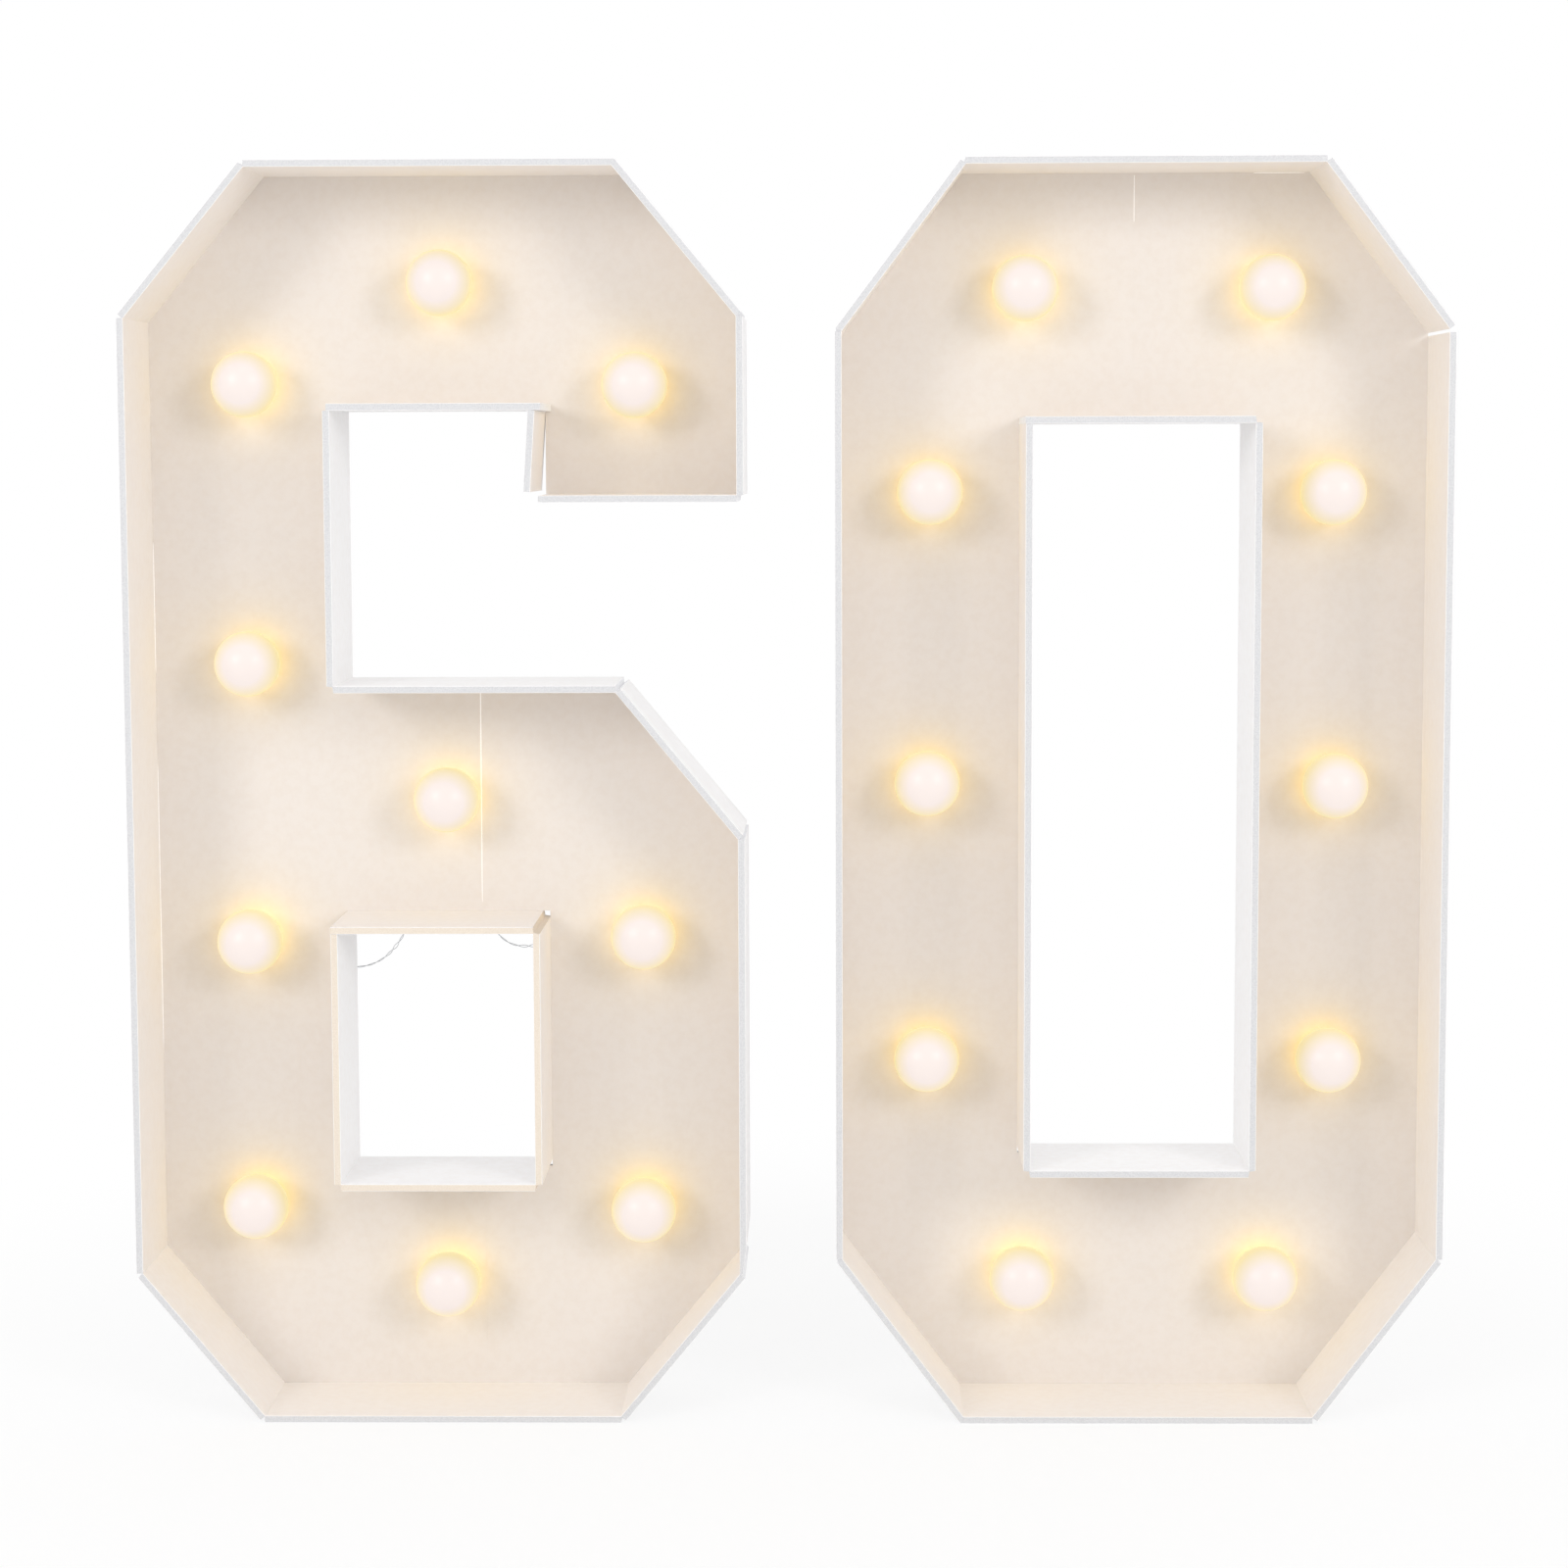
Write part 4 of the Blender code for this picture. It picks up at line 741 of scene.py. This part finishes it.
def panel_surface(node, settings):
    """A merged copy of a panel with its rim moved out to the boards beside it: by v, where v . n = d.

    n is the outward normal of each edge of the rim, and d is how far that edge moves.
    """
    points, triangles = merged_mesh(node)
    flat, front = front_face(node)
    edges = rim_edges(front)
    start, end = flat[edges[:, 0]], flat[edges[:, 1]]
    way = (end - start) / np.linalg.norm(end - start, axis=1, keepdims=True)
    outward = np.stack([way[:, 1], -way[:, 0]], axis=-1)
    seam = in_triangles((start + end) / 2.0 + outward * LOOK_PAST_RIM, panel_triangles(node))
    reach = np.where(seam, settings.seam_reach, settings.joint_reach)
    arriving = np.zeros(len(flat), dtype=int)
    arriving[edges[:, 1]] = np.arange(len(edges))
    before = arriving[edges[:, 0]]
    normals = np.stack([outward[before], outward], axis=1)
    reaches = np.stack([reach[before], reach], axis=1)[..., None]
    bent = np.abs(np.linalg.det(normals)) >= NEARLY_STRAIGHT
    move = outward * reach[:, None]
    move[bent] = np.linalg.solve(normals[bent], reaches[bent])[..., 0]
    spots, spot = np.unique(points[:, [0, 2]], axis=0, return_inverse=True)
    shift = np.zeros_like(spots)
    shift[spot.reshape(-1)[edges[:, 0]]] = move
    depth = points[triangles][:, :, 1]
    numbers = np.full(len(triangles), CUT_FOAM)
    # The panels' fronts inside the tray take the paper with painted warm glow and shade
    numbers[(depth < points[:, 1].min() + SAME_PLANE).all(axis=1)] = PAPER_PAINTED_GLOW_AND_SHADE
    numbers[(depth > points[:, 1].max() - SAME_PLANE).all(axis=1)] = WHITE_PAPER
    points[:, [0, 2]] += shift[spot.reshape(-1)]
    return points, triangles.tolist(), numbers


def lit_joint(panel, side, start, end, gape_start, gape_end, settings):
    """A bead along a joint's middle: its radius is the root of (r r + g g) (1 - (2 t - 1) to the eighth).

    t is the share of its length, r the least radius and g half of the joint's gape there.
    """
    low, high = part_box(panel)
    share = np.linspace(0.0, 1.0, LIT_JOINT_POINTS)
    run = start + (end - start) * share
    half = (gape_start + (gape_end - gape_start) * share) / 2.0
    if side == "top":
        x, z = low.x + (high.x - low.x) * run, high.z + half
    else:
        x, z = (low.x - half if side == "left" else high.x + half), low.z + (high.z - low.z) * run
    line = np.stack([x, low.y + half * LIT_JOINT_DEPTH, z], axis=-1)
    radius = np.hypot(settings.lit_joint, half) * np.sqrt(1.0 - (2.0 * share - 1.0) ** 8)
    return tube(line, radius, LIT_JOINT_SIDES)


def axis_place(node):
    """The place (x, 0, z) of the line along Y through the middle of a CAD node's box."""
    low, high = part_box(node)
    return (np.array(low) + high) / 2.0 * (1.0, 0.0, 1.0)


def globe_places(digit):
    """The axis of each globe of a digit, as (x, 0, z) by its label."""
    start = f"{digit}_globe_"
    return {name.removeprefix(start): axis_place(name) for name in NODES if name.startswith(start)}


def globe_profile(node, panel_front, settings):
    """A globe's profile (radius, y): a sphere (R sin a, c - R cos a) to its neck, the neck and its spigot."""
    radius, back = settings.radius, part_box(node)[1].y
    angle = np.linspace(0.0, math.pi - math.asin(settings.neck / radius), settings.rings + 1)
    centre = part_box(node)[0].y + radius
    sphere = np.stack([radius * np.sin(angle), centre - radius * np.cos(angle)], axis=-1)
    foot = np.array((settings.neck - NECK_TAPER, panel_front - NECK_ROOM))
    share = np.linspace(0.0, 1.0, NECK_RINGS + 1)[1:, None]
    neck = sphere[-1] + (foot - sphere[-1]) * share
    spigot = [(SPIGOT_RADIUS, foot[1]), (SPIGOT_RADIUS, back), (0.0, back)]
    lit = np.concatenate([angle / math.pi, np.full(len(neck) + len(spigot), 1.0)])
    return np.concatenate([sphere, neck, spigot]), lit


def holder_surface(centre, back, settings):
    """A fluted cup, turned: its radius less a share of the flutes' depth times half of 1 - cos(flutes a)."""
    radius, front = settings.holder_radius, back - settings.holder_length
    flutes_end = back - settings.holder_back
    profile = np.array(
        [
            (0.0, front, 0.0),
            (radius - HOLDER_RING, front, 0.0),
            (radius - HOLDER_BEVEL, front, 0.0),
            (radius, front + HOLDER_BEVEL, 0.0),
            (radius, front + HOLDER_BAND, 0.0),
            (radius, front + HOLDER_BAND + HOLDER_BEVEL, 1.0),
            (radius, flutes_end, 1.0),
            (radius, flutes_end + HOLDER_BEVEL, 0.0),
            (radius, back - HOLDER_ROUNDING, 0.0),
            (radius - HOLDER_ROUNDING_MIDDLE, back - HOLDER_ROUNDING_MIDDLE, 0.0),
            (radius - HOLDER_ROUNDING, back, 0.0),
            (radius - GROOVE_START, back, 0.0),
            (radius - GROOVE_START - HOLDER_BEVEL, back - HOLDER_BEVEL, 0.0),
            (radius - GROOVE_END + HOLDER_BEVEL, back - HOLDER_BEVEL, 0.0),
            (radius - GROOVE_END, back, 0.0),
            (0.0, back, 0.0),
        ]
    )
    segments = settings.rib_count * FLUTE_STEPS
    angle = np.linspace(0.0, math.tau, segments, endpoint=False)
    flute = 0.5 - 0.5 * np.cos(settings.rib_count * angle)
    wall = profile[:, :1] - settings.rib_depth * profile[:, 2:] * flute
    return turned(wall, profile[:, 1], segments, centre)


def lead_line(start, end, leaving, entering, settings):
    """A cubic curve (1-t)^3 a + 3 (1-t)^2 t b + 3 (1-t) t^2 c + t^3 d between two holders, in (x, z)."""
    way = end - start
    across = np.array((-way[1], way[0]))
    first = way * leaving[0] + across * leaving[1]
    last = way * entering[0] + across * entering[1]
    grip = settings.holder_radius - LEAD_SOCKET_DEPTH
    begin = start + first / np.linalg.norm(first) * grip
    arrive = end + last / np.linalg.norm(last) * grip
    share = np.linspace(0.0, 1.0, LEAD_POINTS)[:, None]
    rest = 1.0 - share
    return (
        rest**3 * begin
        + 3.0 * rest**2 * share * (begin + first)
        + 3.0 * rest * share**2 * (arrive + last)
        + share**3 * arrive
    )


def lead_lines(digit, settings):
    """Every run of a digit's lead, in (x, z): the tail from the battery box and the runs between holders."""
    places = {label: place[[0, 2]] for label, place in globe_places(digit).items()}
    case = f"{digit}_battery_case"
    top = np.array((axis_place(case)[0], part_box(case)[0].z + LEAD_ENTRY))
    foot = places[LEAD_SHARES[digit][0][0]] + (0.0, settings.holder_radius - LEAD_SOCKET_DEPTH)
    share = np.linspace(0.0, 1.0, LEAD_POINTS // 2)[:, None]
    lines = [top + (foot - top) * share]
    for start, end, leaving, entering in LEAD_SHARES[digit]:
        lines.append(lead_line(places[start], places[end], leaving, entering, settings))
    return lines


def twisted_pair(line, plane, number, settings):
    """Two strands that wind about a line: line + r (n cos p + y sin p), with p one turn for each pitch."""
    ahead = np.gradient(line, axis=0)
    steps = np.linalg.norm(np.diff(line, axis=0), axis=1)
    along = np.concatenate([[0.0], np.cumsum(steps)])
    ahead /= np.linalg.norm(ahead, axis=1, keepdims=True)
    normal = np.stack([-ahead[:, 1], ahead[:, 0]], axis=-1)
    loose = 0.5 - 0.5 * np.cos(math.tau * along / (LOOSE_TURNS * settings.twist_pitch) + number)
    ends = np.clip(np.minimum(along, along[-1] - along) / settings.twist_pitch, 0.0, 1.0)
    away = settings.twist_radius + settings.parting * loose**3 * ends
    strands = []
    for half_turn in (0.0, math.pi):
        phase = math.tau * along / settings.twist_pitch + half_turn + number
        beside = line + normal * (away * np.cos(phase))[:, None]
        depth = plane + away * np.sin(phase)
        strands.append(np.stack([beside[:, 0], depth, beside[:, 1]], axis=-1))
    return strands


class MARQUEE_OT_board(bpy.types.Operator):
    """Makes the kerfed and folded board strips and the flat back panels of both digits"""

    bl_idname = "marquee.board"
    bl_label = "Foam Board"

    def execute(self, context):
        settings = context.scene.marquee_board
        finishes = [
            clay_coated_paper("clay_coated_white_paper", settings.paper, settings.paper_shade),
            cut_polystyrene("cut_polystyrene_foam", settings.core, settings.core_shade),
            # paper with painted warm glow and shade, for the inside of the tray
            clay_coated_paper("clay_coated_paper_painted_glow_and_shade", settings.lining_painted_glow_and_shade, settings.lining_fibres_painted_glow_and_shade),
            # foam that glows as painted light, at folds and ends
            cut_polystyrene("backlit_polystyrene_foam", settings.core, settings.core_shade, settings.scatter),
            cut_polystyrene("globe_lit_polystyrene_foam", settings.bleed, settings.bleed_shade),
            # wall paper with painted warm glow and daylight
            clay_coated_paper("clay_coated_wall_paper_painted_glow", settings.wall, settings.wall_fibres_painted_glow),
        ]
        for word, surface in (("_strip_", strip_surface), ("_panel_", panel_surface)):
            for node in sorted(name for name in NODES if word in name):
                *made, numbers = surface(node, settings)
                add_piece(f"{node}_board", made, finishes, [node], numbers=numbers)
        return {"FINISHED"}


class MARQUEE_OT_lit_joints(bpy.types.Operator):
    """Makes the pale lines where light comes through the joints of the board, as beads that glow with painted
    light
    """

    bl_idname = "marquee.lit_joints"
    bl_label = "Lit Joints"

    def execute(self, context):
        settings = context.scene.marquee_board
        finish = backlit_seam(settings)
        for digit in DIGITS:
            joints = [lit_joint(*joint, settings) for joint in LIT_JOINTS if joint[0].startswith(digit)]
            add_piece(f"{digit}_lit_joints", joined(joints), [finish], smooth=True)
        return {"FINISHED"}


class MARQUEE_OT_globes(bpy.types.Operator):
    """Makes the twenty lit globes"""

    bl_idname = "marquee.globes"
    bl_label = "Globes"

    def execute(self, context):
        settings = context.scene.marquee_globe
        finish = lit_milky_plastic(settings)
        panel_front = min(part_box(name)[0].y for name in NODES if "_panel_" in name)
        for node in sorted(name for name in NODES if "_globe_" in name):
            profile, lit = globe_profile(node, panel_front, settings)
            blown = turned(profile[:, :1], profile[:, 1], settings.segments, axis_place(node))
            lit = np.repeat(lit, settings.segments)
            add_piece(f"{node}_blown", blown, [finish], [node], smooth=True, lit=lit)
        return {"FINISHED"}


class MARQUEE_OT_lamp_holders(bpy.types.Operator):
    """Makes the fluted lamp holders behind the panels"""

    bl_idname = "marquee.lamp_holders"
    bl_label = "Lamp Holders"

    def execute(self, context):
        settings = context.scene.marquee_string
        finish = moulded_plastic("moulded_holder_abs", settings.holder, 0.42, HOLDER_GRAIN)
        for digit in DIGITS:
            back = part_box(f"{digit}_harness")[1].y
            cups = joined([holder_surface(place, back, settings) for place in globe_places(digit).values()])
            add_piece(f"{digit}_lamp_holders", cups, [finish], [f"{digit}_harness"])
        return {"FINISHED"}


class MARQUEE_OT_leads(bpy.types.Operator):
    """Makes the twisted leads that join the lamp holders"""

    bl_idname = "marquee.leads"
    bl_label = "Leads"

    def execute(self, context):
        settings = context.scene.marquee_string
        finish = enamelled_wire(settings)
        for digit in DIGITS:
            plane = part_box(f"{digit}_harness")[1].y - settings.holder_back / 2.0
            strands = [
                tube(strand, settings.strand_radius, LEAD_SIDES)
                for number, line in enumerate(lead_lines(digit, settings))
                for strand in twisted_pair(line, plane, number, settings)
            ]
            name = f"{digit}_twisted_lead"
            add_piece(name, joined(strands), [finish], [f"{digit}_harness"], smooth=True)
        return {"FINISHED"}


class MARQUEE_OT_battery_boxes(bpy.types.Operator):
    """Gives the battery boxes, switches, cells and contacts their finishes"""

    bl_idname = "marquee.battery_boxes"
    bl_label = "Battery Boxes"

    def execute(self, context):
        settings = context.scene.marquee_box
        case = moulded_plastic("moulded_case_abs", settings.case, 0.45, CASE_GRAIN)
        knob = moulded_plastic("moulded_knob_abs", settings.knob, 0.5, KNOB_GRAIN)
        steel = nickel_plated_steel(settings)
        finishes = {"battery_case": case, "battery_cover": case, "switch": knob}
        finishes |= dict.fromkeys(("contact_spring", "contact_plate", "contact_bridge"), steel)
        for digit in DIGITS:
            for label, finish in finishes.items():
                NODES[f"{digit}_{label}"].material_slots[0].material = finish
            for label, turned_over in (("cell_left", False), ("cell_right", True)):
                low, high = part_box(f"{digit}_{label}")
                sleeve = cell_sleeve(settings, low.z, high.z, turned_over)
                NODES[f"{digit}_{label}"].material_slots[0].material = sleeve
        return {"FINISHED"}


def add_softbox(name, place, width, height, power):
    """A softbox at a place, turned to the middle of the digits."""
    lamp = bpy.data.lights.new(name, "AREA")
    lamp.shape = "RECTANGLE"
    lamp.size = width
    lamp.size_y = height
    lamp.energy = power
    made = bpy.data.objects.new(name, lamp)
    bpy.context.scene.collection.objects.link(made)
    made.location = place
    made.rotation_mode = "QUATERNION"
    made.rotation_quaternion = (Vector(SOFTBOX_AIM) - Vector(place)).to_track_quat("-Z", "Y")


def add_world(settings):
    """White surroundings: plain white where the camera, gloss or glass sees them, and a soft sky as light."""
    world = bpy.data.worlds.new("studio_white")
    bpy.context.scene.world = world
    world.use_nodes = True
    tree = world.node_tree
    tree.nodes.clear()
    seen = seen_by(tree, "Is Camera Ray", "Is Glossy Ray", "Is Transmission Ray")
    sky = add_node(tree, "Background", {"Color": (*WHITE, 1.0), "Strength": settings.sky_level})
    white = add_node(tree, "Background", {"Color": (*WHITE, 1.0), "Strength": 1.0})
    inputs = {0: seen, 1: sky.outputs["Background"], 2: white.outputs["Background"]}
    mixed = add_node(tree, "MixShader", inputs)
    add_node(tree, "OutputWorld", {"Surface": mixed.outputs["Shader"]})


class MARQUEE_OT_studio(bpy.types.Operator):
    """Makes the floor, the white surroundings, the three softboxes and the camera"""

    bl_idname = "marquee.studio"
    bl_label = "Studio"

    def execute(self, context):
        settings = context.scene.marquee_studio
        scene = context.scene
        scene.view_settings.view_transform = "Standard"
        half = settings.floor_size / 2.0
        mesh = bpy.data.meshes.new("studio_floor")
        across = np.linspace(-half, half, 2)
        x, y = np.meshgrid(across, across)
        points = np.stack([x, y, np.zeros_like(x)], axis=-1).reshape(-1, 3)
        mesh.from_pydata(points.tolist(), [], grid_faces(2, 2).tolist())
        mesh.materials.append(studio_floor_paint(settings))
        floor = bpy.data.objects.new("studio_floor", mesh)
        scene.collection.objects.link(floor)
        add_world(settings)
        for name, place in SIDE_SOFTBOX_PLACES.items():
            add_softbox(name, place, settings.key_width, settings.key_height, settings.key_power)
        size = settings.top_size
        add_softbox("softbox_top", TOP_SOFTBOX_PLACE, size, size, settings.top_power)
        lens = bpy.data.cameras.new("photo_camera")
        lens.lens = CAMERA_LENS_MM
        lens.sensor_width = CAMERA_SENSOR_MM
        camera = bpy.data.objects.new("photo_camera", lens)
        scene.collection.objects.link(camera)
        camera.matrix_world = (
            Matrix.Translation(CAMERA_PLACE)
            @ Matrix.Rotation(CAMERA_YAW, 4, "Z")
            @ Matrix.Rotation(CAMERA_PITCH, 4, "X")
            @ Matrix.Rotation(CAMERA_ROLL, 4, "Y")
            @ Matrix.Rotation(math.pi / 2.0, 4, "X")
        )
        scene.camera = camera
        return {"FINISHED"}


OPERATORS = (
    MARQUEE_OT_board,
    MARQUEE_OT_lit_joints,
    MARQUEE_OT_globes,
    MARQUEE_OT_lamp_holders,
    MARQUEE_OT_leads,
    MARQUEE_OT_battery_boxes,
    MARQUEE_OT_studio,
)
SETTINGS = {
    "marquee_board": BoardSettings,
    "marquee_globe": GlobeSettings,
    "marquee_string": LightStringSettings,
    "marquee_box": BatteryBoxSettings,
    "marquee_studio": StudioSettings,
}


class MARQUEE_PT_sidebar(bpy.types.Panel):
    """Lists the pieces of the marquee numbers in the sidebar"""

    bl_label = "Marquee Number"
    bl_idname = "MARQUEE_PT_sidebar"
    bl_space_type = "VIEW_3D"
    bl_region_type = "UI"
    bl_category = "Marquee"

    def draw(self, context):
        for operator in OPERATORS:
            self.layout.operator(operator.bl_idname)
        for name, group in SETTINGS.items():
            box = self.layout.box()
            for setting in group.__annotations__:
                box.prop(getattr(context.scene, name), setting)


def register():
    """Registers the settings, the operators and the panel."""
    for name, group in SETTINGS.items():
        bpy.utils.register_class(group)
        setattr(bpy.types.Scene, name, PointerProperty(type=group))
    for made in (*OPERATORS, MARQUEE_PT_sidebar):
        bpy.utils.register_class(made)


def unregister():
    """Takes back what register added, in the other order."""
    for made in (MARQUEE_PT_sidebar, *reversed(OPERATORS)):
        bpy.utils.unregister_class(made)
    for name, group in reversed(SETTINGS.items()):
        delattr(bpy.types.Scene, name)
        bpy.utils.unregister_class(group)


def main():
    """Makes every piece and the stage."""
    register()
    bpy.ops.marquee.board()
    bpy.ops.marquee.lit_joints()
    bpy.ops.marquee.globes()
    bpy.ops.marquee.lamp_holders()
    bpy.ops.marquee.leads()
    bpy.ops.marquee.battery_boxes()
    bpy.ops.marquee.studio()


if __name__ == "__main__":
    main()
